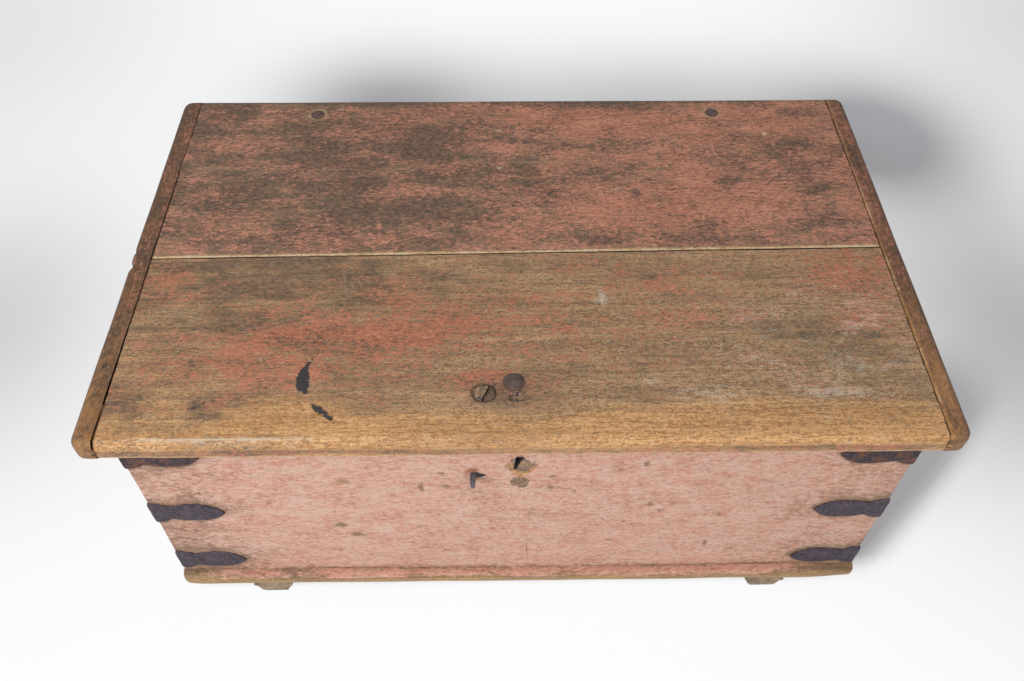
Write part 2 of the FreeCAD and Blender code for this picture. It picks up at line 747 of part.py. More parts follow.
# Drop handles: a bail hung in two forged eyes on each end
for side, sign in (("left", -1), ("right", 1)):
    handle_x = sign * (half_body + handle_stand_off)
    half_span = handle_span / 2
    stub_start = half_span + handle_bend_radius
    stub_end = stub_start + handle_stub
    bend_share = 1 - math.sqrt(0.5)
    low = handle_height - handle_drop

    def bail_point(y, z):
        """Point in the bail's hanging plane."""
        return Vector(handle_x, y, z)

    half_grip = half_span - handle_corner_radius
    path = [Part.LineSegment(bail_point(-half_grip, low), bail_point(half_grip, low))]
    for turn in (-1, 1):
        path.append(Part.LineSegment(
            bail_point(turn * stub_end, handle_height), bail_point(turn * stub_start, handle_height)
        ))
        path.append(Part.Arc(
            bail_point(turn * stub_start, handle_height),
            bail_point(
                turn * (half_span + handle_bend_radius * bend_share),
                handle_height - handle_bend_radius * bend_share,
            ),
            bail_point(turn * half_span, handle_height - handle_bend_radius),
        ))
        path.append(Part.LineSegment(
            bail_point(turn * half_span, handle_height - handle_bend_radius),
            bail_point(turn * half_span, low + handle_corner_radius),
        ))
        path.append(Part.Arc(
            bail_point(turn * half_span, low + handle_corner_radius),
            bail_point(
                turn * (half_span - handle_corner_radius * bend_share),
                low + handle_corner_radius * bend_share,
            ),
            bail_point(turn * half_grip, low),
        ))
    wire = Part.Wire(Part.__sortEdges__([piece.toShape() for piece in path]))
    ring = Part.Wire(Part.Circle(bail_point(-stub_end, handle_height), Y_AXIS, handle_rod_radius).toShape())
    keep(f"{side}_handle", wire.makePipeShell([ring], True, False))
    eye_bore = handle_rod_radius + handle_clearance
    eye_outer = eye_bore + handle_eye_wall
    eyes = []
    for turn in (-1, 1):
        middle = turn * (stub_start + stub_end) / 2
        half = handle_eye_shank / 2
        shank_ends = half_body - end_thickness, half_body + handle_stand_off - eye_bore
        inner, outer = sorted(sign * end for end in shank_ends)
        shank = block(
            inner, outer, middle - half, middle + half, handle_height - half, handle_height + half
        )
        ring_axis = bail_point(middle, handle_height)
        ring = eye(ring_axis, Y_AXIS, eye_outer, eye_bore, handle_eye_width)
        bore = Part.makeCylinder(
            eye_bore, handle_eye_width, ring_axis - Y_AXIS * (handle_eye_width / 2), Y_AXIS
        )
        eyes.append(ring.fuse(shank).cut(bore).removeSplitter())
    keep(f"{side}_handle_eyes", Part.makeCompound(eyes))

# Front, back and end boards, cut for everything that passes through them
lap_front = front_face + front_thickness - rebate_depth
lap_back = back_face - back_thickness + rebate_depth
rebate_x = half_body - end_thickness
front_board = block(-half_body, half_body, front_face, front_inner, body_bottom, body_top)
back_board = block(-half_body, half_body, back_inner, back_face, body_bottom, body_top)
for sign in (-1, 1):
    left, right = sorted((sign * rebate_x, sign * (half_body + overrun)))
    front_board = front_board.cut(block(
        left, right, lap_front, front_inner + overrun, body_bottom - overrun, body_top + overrun
    ))
    back_board = back_board.cut(block(
        left, right, back_inner - overrun, lap_back, body_bottom - overrun, body_top + overrun
    ))
half_escutcheon = escutcheon_width / 2
recess = prism(
    [
        Vector(lock_offset, front_face, keyhole_z + escutcheon_above),
        Vector(lock_offset + half_escutcheon, front_face, keyhole_z - keyhole_bow_radius),
        Vector(lock_offset, front_face, keyhole_z - escutcheon_below),
        Vector(lock_offset - half_escutcheon, front_face, keyhole_z - keyhole_bow_radius),
    ],
    Y_AXIS * escutcheon_depth,
)
front_cuts = [recess, keyhole(front_face - overrun, front_inner + overrun), built["front_spike"]]
front_cuts += strap_nails + corner_nails + base_nails + lock_nails
keep("front_board", front_board.cut(front_cuts))
back_cuts = back_reliefs + strap_nails + corner_nails + base_nails + hinge_leaf_nails
keep("back_board", back_board.cut(back_cuts))
for side, sign in (("left", -1), ("right", 1)):
    inner, outer = sorted((sign * rebate_x, sign * half_body))
    end_board = block(inner, outer, lap_front, lap_back, body_bottom, body_top)
    keep(f"{side}_end_board", end_board.cut(
        strap_nails + corner_nails + base_nails + [built[f"{side}_handle_eyes"]]
    ))

for name, shape in built.items():
    if not shape.isValid():
        raise ValueError(f"{name} is not a valid solid")
    shape.exportStep(f"parts/{name}.step")
    print(name, len(shape.Solids), round(shape.Volume))
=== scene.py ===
import bpy
import numpy as np
from mathutils import Matrix, Vector


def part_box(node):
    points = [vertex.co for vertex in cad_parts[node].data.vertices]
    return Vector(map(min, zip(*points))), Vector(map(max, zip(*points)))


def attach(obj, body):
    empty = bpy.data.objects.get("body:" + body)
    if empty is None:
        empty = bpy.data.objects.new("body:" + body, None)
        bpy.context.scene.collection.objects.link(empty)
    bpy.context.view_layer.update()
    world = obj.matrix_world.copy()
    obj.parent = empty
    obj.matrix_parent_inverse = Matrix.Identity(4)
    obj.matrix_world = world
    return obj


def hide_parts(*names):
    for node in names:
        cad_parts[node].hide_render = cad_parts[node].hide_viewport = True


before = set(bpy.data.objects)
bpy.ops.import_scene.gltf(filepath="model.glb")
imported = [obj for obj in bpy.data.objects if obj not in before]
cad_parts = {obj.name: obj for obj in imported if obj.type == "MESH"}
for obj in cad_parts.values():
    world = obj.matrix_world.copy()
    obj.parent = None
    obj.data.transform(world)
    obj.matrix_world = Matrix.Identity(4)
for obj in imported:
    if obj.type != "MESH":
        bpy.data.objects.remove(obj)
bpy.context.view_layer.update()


# Runners: two softwood bearers under the base, sawn tapering, worn round below and never painted.
# They lie from front to back and are nailed from inside the chest, down through the base boards.
runner_bottom_width = 0.046
runner_foot_round = 0.008
runner_top_round = 0.001
runner_end_round = 0.005
runner_flat_height = 0.002
runner_arris = 0.010
runner_chips = 0.003
runner_grain = (0.012, 0.08, 0.012)
runner_grey = (178, 160, 136)
runner_brown = (138, 118, 96)
runner_grime = (84, 72, 62)


def srgb(tone):
    """Linear colour of a screen colour given as three numbers to 255."""
    share = np.array(tone) / 255
    linear = np.where(share <= 0.04045, share / 12.92, ((share + 0.055) / 1.055) ** 2.4)
    return (*linear.tolist(), 1.0)


def bell(gap, reach):
    """Bell of a distance: 1 where it is nothing, about a third at the reach."""
    return np.exp(-((gap / reach) ** 2))


def drift(points, cell, seed):
    """Smooth random field from -1 to 1: random numbers on a lattice of cells of the given size, eased
    between the eight corners round each point."""
    cells = 32
    shift = 100
    lattice = np.random.default_rng(seed).uniform(-1, 1, (cells, cells, cells))
    place = points / np.asarray(cell) + shift
    corner = np.floor(place).astype(int)
    part = place - corner
    part = part * part * (3 - 2 * part)
    total = np.zeros(points.shape[:-1])
    for step in np.ndindex(2, 2, 2):
        share = np.prod(np.where(np.array(step, bool), part, 1 - part), axis=-1)
        i, j, k = np.moveaxis((corner + step) % cells, -1, 0)
        total += share * lattice[i, j, k]
    return total


def crowd(low, high, pitch, spots=()):
    """Places from low to high about a pitch apart, drawn closer round spots given as (place, reach, pitch):
    equal steps in the running sum of how many lines each place needs."""
    fine = np.linspace(low, high, 4001)
    need = np.full_like(fine, 1 / pitch)
    for place, reach, close in spots:
        need = np.maximum(need, np.exp(-(((fine - place) / reach) ** 4)) / close)
    total = np.concatenate([[0], np.cumsum((need[1:] + need[:-1]) / 2 * np.diff(fine))])
    return np.interp(np.linspace(0, total[-1], int(np.ceil(total[-1])) + 1), total, fine)


def board_section(face, back, rise, rounds, joints=(None, None), reach=0.007, turns=6):
    """Closed outline of a board's section in (across, up), from its low back corner round: straight sides
    with lines at the given places, and a quarter circle at each corner. The rounds are those of the back's
    low and high side, then the face's high and low side. A joint on the low or high side is a tongue, or a
    groove with a negative length, given as (length, bottom, top). Returns the points, the way each faces,
    and how near it is to an arris: a bell of its distance from the nearest corner."""
    low, high = face[0], face[-1]
    under, over = rise
    back_low, back_high, face_high, face_low = rounds
    corners = [
        (high - back_high, under + back_high, back_high, -90),
        (high - face_high, over - face_high, face_high, 0),
        (low + face_low, over - face_low, face_low, 90),
        (low + back_low, under + back_low, back_low, 180),
    ]
    inner_back = back[(back > low + back_low * 1.01) & (back < high - back_high * 1.01)]
    inner_face = face[(face > low + face_low * 1.01) & (face < high - face_high * 1.01)][::-1]

    def edge(place, way, start, end, joint):
        """Points up one narrow side, stepped out or in where it has a joint."""
        if joint is None:
            lines = np.linspace(start, end, 6)[1:-1]
            return np.full(4, place), lines
        length, bottom, top = joint
        lines = np.array([bottom, bottom, top, top])
        return place + way * length * np.array([0, 1, 1, 0]), lines if end > start else lines[::-1]

    sides = [
        (inner_back, np.full_like(inner_back, under), (0, -1)),
        (*edge(high, 1, under + back_high, over - face_high, joints[1]), (1, 0)),
        (inner_face, np.full_like(inner_face, over), (0, 1)),
        (*edge(low, -1, over - face_low, under + back_low, joints[0]), (-1, 0)),
    ]
    points = []
    ways = []
    for (across, height, way), (turn_a, turn_u, radius, start) in zip(sides, corners):
        points.append(np.stack([across, height], -1))
        ways.append(np.broadcast_to(np.array(way, float), (len(across), 2)))
        angle = np.radians(start + np.linspace(0, 90, turns + 1))
        arc = np.stack([np.cos(angle), np.sin(angle)], -1)
        points.append(np.array([turn_a, turn_u]) + radius * arc)
        ways.append(arc)
    points = np.concatenate(points)
    tips = np.array([(low, under), (high, under), (high, over), (low, over)])
    gap = np.linalg.norm(points[:, None] - tips[None], axis=-1).min(1)
    return points, np.concatenate(ways), bell(gap, reach)


def rounded_ends(lines, radius, turns=5):
    """Stations along a board and how far the section draws in at each, so that both ends are quarter
    rounds."""
    angle = np.linspace(0, np.pi / 2, turns + 1)[:-1]
    start = lines[0] + radius * (1 - np.cos(angle))
    inner = lines[(lines > lines[0] + radius) & (lines < lines[-1] - radius)]
    stations = np.concatenate([start, inner, (lines[0] + lines[-1] - start)[::-1]])
    draw = radius * (1 - np.sin(angle))
    return stations, np.concatenate([draw, np.zeros(len(inner)), draw[::-1]])


def carry(section, ends, lay):
    """Rings of a section carried along its stations: each ring is the outline drawn in there, and lay turns
    (station, across, up) into x, y and z."""
    stations, draw = ends
    flat = section[0][None] - draw[:, None, None] * section[1][None]
    along = np.broadcast_to(stations[:, None], flat.shape[:2])
    return np.stack(np.broadcast_arrays(*lay(along, flat[..., 0], flat[..., 1])), axis=-1)


def skin_turn(rings):
    """Cross product of the ways round and along the skin, at each point of its rings."""
    across = np.roll(rings, -1, axis=1) - np.roll(rings, 1, axis=1)
    return np.cross(across, np.gradient(rings, axis=0))


def set_back(rings, depth):
    """Rings moved in by a depth at each point, against the unit normals that point away from their middle."""
    normal = skin_turn(rings)
    normal /= np.linalg.norm(normal, axis=-1, keepdims=True) + 1e-12
    normal = normal * np.sign(np.sum(normal * (rings - rings.mean((0, 1)))))
    return rings - normal * depth[..., None]


def hand_worn(rings, arris, cell, seed, chips=0.0012):
    """Depth of wear under the true surface: a little all over, long hollows and fine furrows along the grain,
    and chips and rubbing along each arris."""
    planed = 0.0001
    hollow = 0.00020 * (1 + drift(rings, np.array(cell) * 8, seed))
    furrow = 0.00016 * (1 + drift(rings, cell, seed + 1))
    chip = np.clip(drift(rings, np.array(cell) * 1.5, seed + 2), 0, 1) + 0.15
    return planed + hollow + furrow + chips * arris * chip


def skin(name, rings, finish, **shares):
    """Closed mesh over rings, in one finish: four-cornered faces between rings and a fan of triangles over
    each end. Shares are named sets of four numbers at each point, for the finish to read."""
    count, around = rings.shape[:2]
    index = np.arange(count * around).reshape(count, around)
    right = np.roll(index, -1, axis=1)
    quads = np.stack([index[:-1], right[:-1], right[1:], index[1:]], -1).reshape(-1, 4)
    first = count * around
    start_fan = np.stack([right[0], index[0], np.full(around, first)], -1)
    end_fan = np.stack([index[-1], right[-1], np.full(around, first + 1)], -1)
    outward = np.sum(skin_turn(rings) * (rings - rings.mean((0, 1))))
    order = 1 if outward > 0 else -1
    faces = np.concatenate([start_fan, end_fan])[:, ::order].tolist()
    faces = quads[:, ::order].tolist() + faces
    points = np.concatenate([rings.reshape(-1, 3), rings[[0, -1]].mean(1)])
    mesh = bpy.data.meshes.new(name)
    mesh.from_pydata(points.tolist(), [], faces)
    smooth = np.ones(len(faces), bool)
    smooth[len(quads):] = False
    mesh.polygons.foreach_set("use_smooth", smooth)
    for label, values in shares.items():
        values = np.concatenate([values.reshape(-1, 4), values[[0, -1]].mean(1)])
        mesh.attributes.new(label, "FLOAT_COLOR", "POINT")
        mesh.attributes[label].data.foreach_set("color", values.astype(np.float32).ravel())
    mesh.materials.append(finish)
    mesh.update()
    piece = bpy.data.objects.new(name, mesh)
    bpy.context.scene.collection.objects.link(piece)
    return piece


class Field:
    """A shader socket in Python sums: each operator adds one Math node to the socket's tree."""

    def __init__(self, tree, socket=None):
        self.tree = tree
        self.socket = socket

    def node(self, kind, settings, inputs, out=0):
        """Add any node, its settings first and then the values or links of its sockets."""
        made = self.tree.nodes.new(kind)
        for name, value in settings.items():
            setattr(made, name, value)
        for name, value in inputs.items():
            if isinstance(value, Field):
                self.tree.links.new(value.socket, made.inputs[name])
            else:
                made.inputs[name].default_value = value
        return Field(self.tree, made.outputs[out]) if made.outputs else None

    def beside(self, out):
        """Another output of the node that this socket is on."""
        return Field(self.tree, self.socket.node.outputs[out])

    def math(self, operation, *values):
        """Math node on this socket's tree."""
        return self.node("ShaderNodeMath", {"operation": operation}, dict(enumerate(values)))

    def __add__(self, other):
        return self.math("ADD", self, other)

    def __sub__(self, other):
        return self.math("SUBTRACT", self, other)

    def __rsub__(self, other):
        return self.math("SUBTRACT", other, self)

    def __mul__(self, other):
        return self.math("MULTIPLY", self, other)

    __radd__ = __add__
    __rmul__ = __mul__

    def step(self, low, high):
        """Ease from 0 at low to 1 at high."""
        limits = {0: self, 1: low, 2: high, 3: 0.0, 4: 1.0}
        return self.node("ShaderNodeMapRange", {"interpolation_type": "SMOOTHSTEP"}, limits)

    def tint(self, low, high):
        """Colour between two colours, by this share. A colour is a socket or a screen colour."""
        low, high = [tone if isinstance(tone, Field) else srgb(tone) for tone in (low, high)]
        return self.node("ShaderNodeMix", {"data_type": "RGBA"}, {0: self, 6: low, 7: high}, 2)

    def stretch(self, cells, shift=0.0):
        """This place, counted in cells of the given sizes in metres and shifted along."""
        inputs = {0: self, 1: [1 / size for size in cells], 2: (shift, shift, shift)}
        return self.node("ShaderNodeVectorMath", {"operation": "MULTIPLY_ADD"}, inputs)

    def streaks(self, cells, detail=4.0, roughness=0.6, distortion=0.0, shift=0.0):
        """Noise on this place, in cells of the given sizes."""
        inputs = {
            "Vector": self.stretch(cells, shift), "Scale": 1.0, "Detail": detail, "Roughness": roughness,
            "Distortion": distortion,
        }
        return self.node("ShaderNodeTexNoise", {}, inputs)

    def dots(self, cells, share, size, shift=0.0):
        """Scattered specks: at most one to a cell, in a share of the cells, each of its own size."""
        inputs = {"Vector": self.stretch(cells, shift), "Scale": 1.0}
        gap = self.node("ShaderNodeTexVoronoi", {}, inputs, "Distance")
        chance = gap.node("ShaderNodeSeparateColor", {}, {0: gap.beside("Color")})
        small = chance.beside("Green")
        return (small * size + 0.3 * size - gap).step(0.0, 0.2 * size) * chance.step(share, share * 0.9)

    def scratches(self, axis, degrees, shift):
        """Sparse thin marks that lie one way: noise drawn out along a line turned about an axis."""
        inputs = {"Vector": self, "Axis": axis, "Angle": np.radians(degrees)}
        turned = self.node("ShaderNodeVectorRotate", {"rotation_type": "AXIS_ANGLE"}, inputs)
        where = self.streaks((0.06, 0.06, 0.06), 3.0, 0.6, shift=shift)
        lines = turned.streaks((0.024, 0.0011, 0.0011), 2.0, 0.5, shift=shift)
        return (lines + (where - 0.5) * 0.6).step(0.70, 0.77)


def new_finish(name):
    """Empty material and the Object coordinates in it."""
    material = bpy.data.materials.new(name)
    material.use_nodes = True
    material.node_tree.nodes.clear()
    return material, Field(material.node_tree).node("ShaderNodeTexCoord", {}, {}, "Object")


def close_finish(colour, roughness, height, depth, constants):
    """Principled shader of a colour, a roughness and a height in shares of a depth in metres."""
    bump = colour.node("ShaderNodeBump", {}, {"Strength": 1.0, "Distance": depth, "Height": height})
    inputs = {"Base Color": colour, "Roughness": roughness, "Normal": bump, **constants}
    shader = colour.node("ShaderNodeBsdfPrincipled", {}, inputs)
    colour.node("ShaderNodeOutputMaterial", {}, {"Surface": shader})


def grain_cells(along, length, breadth):
    """Cell of a pattern that runs along one axis, 0, 1 or 2."""
    cells = [breadth, breadth, breadth]
    cells[along] = length
    return cells


def bare_wood(name, along, light, dark, grime):
    """Unpainted wood: growth streaks along the grain between a light and a dark tone, fine pores, and grime
    in blotches."""
    material, place = new_finish(name)
    figure = place.streaks(grain_cells(along, 0.30, 0.011), 5.0, 0.55, 0.6)
    pores = place.streaks(grain_cells(along, 0.06, 0.0012), 3.0, 0.6)
    blotch = place.streaks(grain_cells(along, 0.16, 0.05), 4.0, 0.6)
    tone = (figure * 0.65 + pores * 0.35).step(0.36, 0.64)
    soil = (blotch * 0.6 + pores * 0.4).step(0.5, 0.66)
    colour = (soil * 0.75).tint(tone.tint(dark, light), grime)
    roughness = 0.62 + pores * 0.25
    close_finish(colour, roughness, figure * 0.4 + pores * 0.6, 0.0012, {"Specular IOR Level": 0.3})
    return material


runner_wood = bare_wood("weathered_runner", 1, runner_grey, runner_brown, runner_grime)
for side, seed in (("left", 11), ("right", 17)):
    low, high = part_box(f"{side}_runner")
    middle = (low.x + high.x) / 2
    half_top = (high.x - low.x) / 2
    taper = runner_bottom_width / (high.x - low.x)
    face = crowd(-half_top, half_top, 0.004)
    rounds = (runner_foot_round, runner_foot_round, runner_top_round, runner_top_round)
    section = board_section(face, face, (0.0, high.z), rounds, reach=runner_arris)

    def lay_runner(along, across, up):
        """The section narrows towards the floor, about the runner's middle line."""
        return middle + across * (taper + (1 - taper) * up / high.z), along, up

    rings = carry(section, rounded_ends(crowd(low.y, high.y, 0.006), runner_end_round), lay_runner)
    depth = hand_worn(rings, section[2], runner_grain, seed, runner_chips)
    depth = depth * np.where(rings[..., 2] < runner_flat_height, 0.0, 1.0)
    piece = skin(f"{side}_runner_worn", set_back(rings, depth), runner_wood)
    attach(piece, "chest")
    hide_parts(f"{side}_runner")


# Base: two boards under the body, the front one standing out as a rounded ledge. They are painted outside,
# rubbed to golden wood along the ledge's lower edge, and nailed up into the body.
base_ledge_round = 0.007
base_other_round = 0.001
base_corner_round = 0.012
base_end_round = 0.002
base_chips = 0.002
base_grain = (0.08, 0.012, 0.012)
ledge_worn_height = 0.011
ledge_worn_right = 0.47
ledge_worn_left = 0.535
ledge_golden_top = 0.0535
ledge_golden_full = 0.0465
# Black of tar; the same black paints shade inside holes and splits.
tar_and_shade_black = (46, 41, 44)
iron_rust = (150, 88, 50)


def ease(value, low, high):
    """0 below low, 1 above high, eased between."""
    share = np.clip((value - low) / (high - low), 0, 1)
    return share * share * (3 - 2 * share)


def blots(a, b, rows):
    """Sum of soft ovals, each given by its middle, its two reaches and its strength."""
    total = np.zeros(np.broadcast(a, b).shape)
    for middle_a, middle_b, reach_a, reach_b, strength in rows:
        total += strength * np.exp(-(((a - middle_a) / reach_a) ** 2) - ((b - middle_b) / reach_b) ** 2)
    return total


def shares_of(*values):
    """Four shares at each point."""
    return np.stack(np.broadcast_arrays(*values), -1)


def painted_wood(
    name, along, flat_axis, paints, woods, soils, scuff, streak=1.0, speck=0.3, fleck=0.5, edge=0.21
):
    """Old paint on wood, read from two sets of shares on the piece. Wear holds the paint left, grime, wood
    rubbed golden and pale scuffs; on the lid's rounded front edge the pale share also carries a painted
    highlight. Marks hold tar, chalky blots, rust and scratches; the tar share also paints the inside of holes
    and splits black as painted shade. Clouds, crumbs and grain, three noises of falling size, break the edge
    of each; scratches and specks lie over them. The paints and soils are a dark and a light tone, the woods a
    dark and a light brown and a dark and a light gold. Streak is how far the patches are drawn out along the
    grain, speck the share of the cells that hold a speck, fleck the strength of the short light and dark
    flecks, and edge how softly the patches end."""
    brown_dark, brown_light, gold_dark, gold_light = woods
    material, place = new_finish(name)
    wear = place.node("ShaderNodeAttribute", {"attribute_name": "wear"}, {}, "Color")
    marks = place.node("ShaderNodeAttribute", {"attribute_name": "marks"}, {}, "Color")
    painted, grime, gold = [place.node("ShaderNodeSeparateColor", {}, {0: wear}, k) for k in range(3)]
    tar, chalk, rust = [place.node("ShaderNodeSeparateColor", {}, {0: marks}, k) for k in range(3)]
    pale = wear.beside("Alpha")
    scratched = marks.beside("Alpha")

    def noise(length, breadth, roughness, distortion=0.0, shift=0.0, detail=4.0):
        """Noise about 0, in cells of a length along the grain and a breadth across it."""
        return place.streaks(grain_cells(along, length, breadth), detail, roughness, distortion, shift) - 0.5

    cloud = noise(0.065 * streak, 0.030, 0.66, 0.3)
    haze = noise(0.080 * streak, 0.032, 0.66, 0.3, 37.0)
    crumb = noise(0.011 * streak, 0.0050, 0.74, 0.0, 5.0)
    flake = noise(0.012 * streak, 0.0045, 0.74, 0.0, 23.0)
    grain = noise(0.045 * streak, 0.0017, 0.64)
    figure = noise(0.24, 0.011, 0.6, 0.6)
    dust = noise(0.0024, 0.0024, 0.7, 0.0, 11.0, 2.0)
    grit = place.streaks((0.0030, 0.0026, 0.0026), 2.0, 0.7, 0.0, 29.0) - 0.5
    shade = place.streaks(grain_cells(along, 0.008, 0.0024), 3.0, 0.7, 0.0, 67.0)
    spark = place.streaks(grain_cells(along, 0.007, 0.0022), 3.0, 0.7, 0.0, 51.0)
    covered = (cloud * 1.7 + crumb * 2.2 + grain * 1.2 + dust * 1.1 + painted).step(0.5 - edge, 0.5 + edge)
    soiled = (haze * 1.9 + flake * 2.2 + grain * 1.3 + grit * 1.1 + grime).step(0.6 - edge, 0.6 + edge)
    rubbed = (figure * 0.9 + crumb * 0.9 + gold).step(0.0, 1.0)
    rusted = (crumb * 1.2 + cloud * 0.8 + rust).step(0.25, 0.75)
    # Pale scuffs, and on the lid's rounded front edge a painted highlight.
    scuffs_and_highlight = (flake * 0.7 + grain * 0.7 + dust * 0.7 + cloud * 0.8 + pale).step(0.27, 0.52) * 0.6
    chalked = (crumb * 1.2 + dust * 0.9 + chalk).step(0.34, 0.86) * 0.8
    # Tar, and black painted shade inside holes and splits.
    tar_and_shade_cover = ((crumb * 1.6 + grain * 1.8 + dust * 1.0 + 1.0) * tar).step(0.42, 0.58)
    pores = grain.step(0.10, 0.22)
    specks = place.dots((0.016, 0.016, 0.016), speck, 0.16)
    lines = place.scratches(flat_axis, 64.0, 5.0) + place.scratches(flat_axis, -40.0, 9.0)
    lines = lines + place.scratches(flat_axis, 8.0, 15.0)
    brown = (figure * 0.6 + flake * 1.2 + grit * 1.2).step(-0.22, 0.22).tint(brown_dark, brown_light)
    golden = (figure * 0.5 + flake * 1.0 + grain * 0.9 + grit * 0.8).step(-0.22, 0.22)
    golden = golden.tint(gold_dark, gold_light)
    paint = (cloud * 0.6 + crumb * 1.2 + grain * 1.2 + dust * 0.8).step(-0.22, 0.22).tint(*paints)
    soil = (crumb * 1.4 + dust * 1.0).step(-0.2, 0.2).tint(*soils)
    colour = covered.tint(rubbed.tint(brown, golden), paint)
    colour = (rusted * 0.8).tint(colour, iron_rust)
    colour = (soiled * 0.85).tint(colour, soil)
    colour = (shade.step(0.52, 0.66) * fleck).tint(colour, soils[0])
    colour = (spark.step(0.53, 0.67) * fleck * (0.4 + rubbed * 0.6)).tint(colour, gold_light)
    colour = (pores * 0.35 + specks * 0.45).tint(colour, soils[0])
    colour = scuffs_and_highlight.math("MAXIMUM", scuffs_and_highlight + lines * scratched, chalked).tint(colour, scuff)
    colour = tar_and_shade_cover.tint(colour, tar_and_shade_black)
    roughness = 0.74 - rubbed * 0.3 + dust * 0.2 - tar_and_shade_cover * 0.15
    height = covered * 0.3 + grain * 0.9 + crumb * 0.5 - specks * 0.4 - lines * 0.2
    close_finish(colour, roughness, height, 0.0008, {"Specular IOR Level": 0.3})
    return material


base_paint = painted_wood(
    "base_paint", 0, (0, 1, 0), paints=((190, 130, 111), (212, 166, 147)),
    woods=((118, 96, 72), (158, 130, 98), (144, 110, 70), (198, 160, 110)),
    soils=((98, 84, 68), (146, 124, 102)), scuff=(220, 196, 168), fleck=0.25, edge=0.3,
)
for place_name, seed in (("front", 21), ("rear", 27)):
    low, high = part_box(f"base_{place_name}_board")
    front_round = base_ledge_round if place_name == "front" else base_other_round
    face = crowd(low.y, high.y, 0.008, [(low.y, 0.02, 0.0015)])
    rounds = (front_round, base_other_round, base_other_round, front_round)
    section = board_section(face, face, (low.z, high.z), rounds, reach=0.008)

    def lay_base(along, across, up):
        """Straight board along x; the ledge's front corners are rounded in plan and worn up from below."""
        if place_name == "rear":
            return along, across, up
        gap = np.clip(base_corner_round - (high.x - np.abs(along)), 0, base_corner_round)
        pulled = base_corner_round - np.sqrt(base_corner_round ** 2 - gap ** 2)
        share = (high.y - across) / (high.y - low.y)
        worn = ease(along, ledge_worn_right, high.x) ** 1.5 + 0.6 * ease(-along, ledge_worn_left, high.x)
        lift = ledge_worn_height * worn * ease(-across, -low.y - 0.045, -low.y - 0.010)
        return along, across + pulled * share, up + lift * (high.z - up) / (high.z - low.z)

    ends = [(low.x, 0.02, 0.002), (high.x, 0.02, 0.002)]
    lines = crowd(low.x, high.x, 0.005, ends)
    rings = carry(section, rounded_ends(lines, base_end_round), lay_base)
    rings = set_back(rings, hand_worn(rings, section[2], base_grain, seed, base_chips))
    x, y, z = np.moveaxis(rings, -1, 0)
    outside = (y < low.y + 0.03) | (np.abs(x) > high.x - 0.004)
    wander = 0.002 * drift(rings, 0.05, seed + 3)
    front_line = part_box("front_board")[0].y
    lower = ease(wander - z, -ledge_golden_top, -ledge_golden_full)
    corners = ease(np.abs(x), 0.43, 0.55)
    bald = np.clip(drift(rings, (0.09, 0.05, 0.05), seed + 4), 0, 1)
    wear = shares_of(
        np.where(outside, 1.0 - 1.1 * lower - 0.3 * section[2] - 0.7 * corners - 0.3 * bald, 0.0),
        0.16 + 0.25 * bell(y - front_line, 0.003) + 0.25 * corners + 0.3 * bald,
        0.2 + 0.6 * lower + 0.3 * corners, 0.05,
    )
    marks = shares_of(np.zeros_like(x), 0, 0, 0.2)
    piece = skin(f"base_{place_name}_worn", rings, base_paint, wear=wear, marks=marks)
    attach(piece, "chest")
    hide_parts(f"base_{place_name}_board")


# Body: front and back boards rebated over the two ends, planed by hand and nailed. Outside they carry a
# salmon paint, faded, nicked and browned round the irons; inside they are bare. The front has a keyhole worn
# askew, in the grey patch of a lost escutcheon, and a rusty hole round the iron stub; both holes are painted
# black inside as painted shade.
body_look = {
    "paints": ((203, 141, 120), (218, 184, 166)),
    "woods": ((120, 98, 82), (156, 130, 110), (170, 120, 72), (212, 160, 106)),
    "soils": ((112, 90, 72), (166, 131, 108)),
    "scuff": (228, 202, 186), "streak": 0.9, "speck": 0.16, "fleck": 0.18, "edge": 0.42,
}
body_paint = painted_wood("body_paint", 0, (0, 1, 0), **body_look)
end_paint = painted_wood("end_paint", 1, (1, 0, 0), **body_look)
front_low, front_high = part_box("front_board")
back_low, back_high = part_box("back_board")
end_low, end_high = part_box("left_end_board")
lock_low, lock_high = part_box("lock_plate")
rebate_x = abs(end_high.x)
lap_depth = end_low.y - front_low.y
body_rounds = (0.001, 0.001, 0.0015, 0.0015)
body_chips = 0.0015
painted_depth = 0.006
inside_pitch = 0.02
low_stain = 0.012
strap_stain = 0.0075
strap_bloom = 0.045
end_strap_stain = 0.012
keyhole_x = (lock_low.x + lock_high.x) / 2
keyhole_z = lock_low.z + 0.044
keyhole_depth = 0.019
keyhole_rise = 0.007
keyhole_fall = 0.023
keyhole_left = -0.0014
keyhole_left_lean = 0.106
keyhole_right = 0.0074
keyhole_right_lean = 0.330
flank_breadth = 0.010
flank_depth = 0.003
scar_depth = 0.0012
lower_scar_depth = 0.0006
lower_scar_x = -0.003
lower_scar_z = 0.3335
stub_x = -0.070
stub_hole_depth = 0.003
nick_depth = 0.0010
crack_x = 0.012
strap_length = 0.110
strap_root = 0.029
strap_waist = 0.018
strap_waist_in = 0.026
strap_leaf = 0.025
strap_leaf_in = 0.068
nicks = [
    (-0.261, 0.340, 0.009, 0.004), (-0.148, 0.320, 0.003, 0.011), (-0.112, 0.325, 0.006, 0.004),
    (-0.118, 0.360, 0.006, 0.003), (-0.281, 0.209, 0.009, 0.007), (-0.260, 0.178, 0.007, 0.006),
    (0.197, 0.265, 0.004, 0.004), (0.216, 0.244, 0.004, 0.003), (0.303, 0.135, 0.003, 0.012),
    (0.180, 0.380, 0.004, 0.007), (0.045, 0.348, 0.006, 0.003), (0.080, 0.305, 0.003, 0.003),
    (0.145, 0.150, 0.004, 0.004), (0.044, 0.317, 0.003, 0.003), (0.310, 0.232, 0.003, 0.003),
]


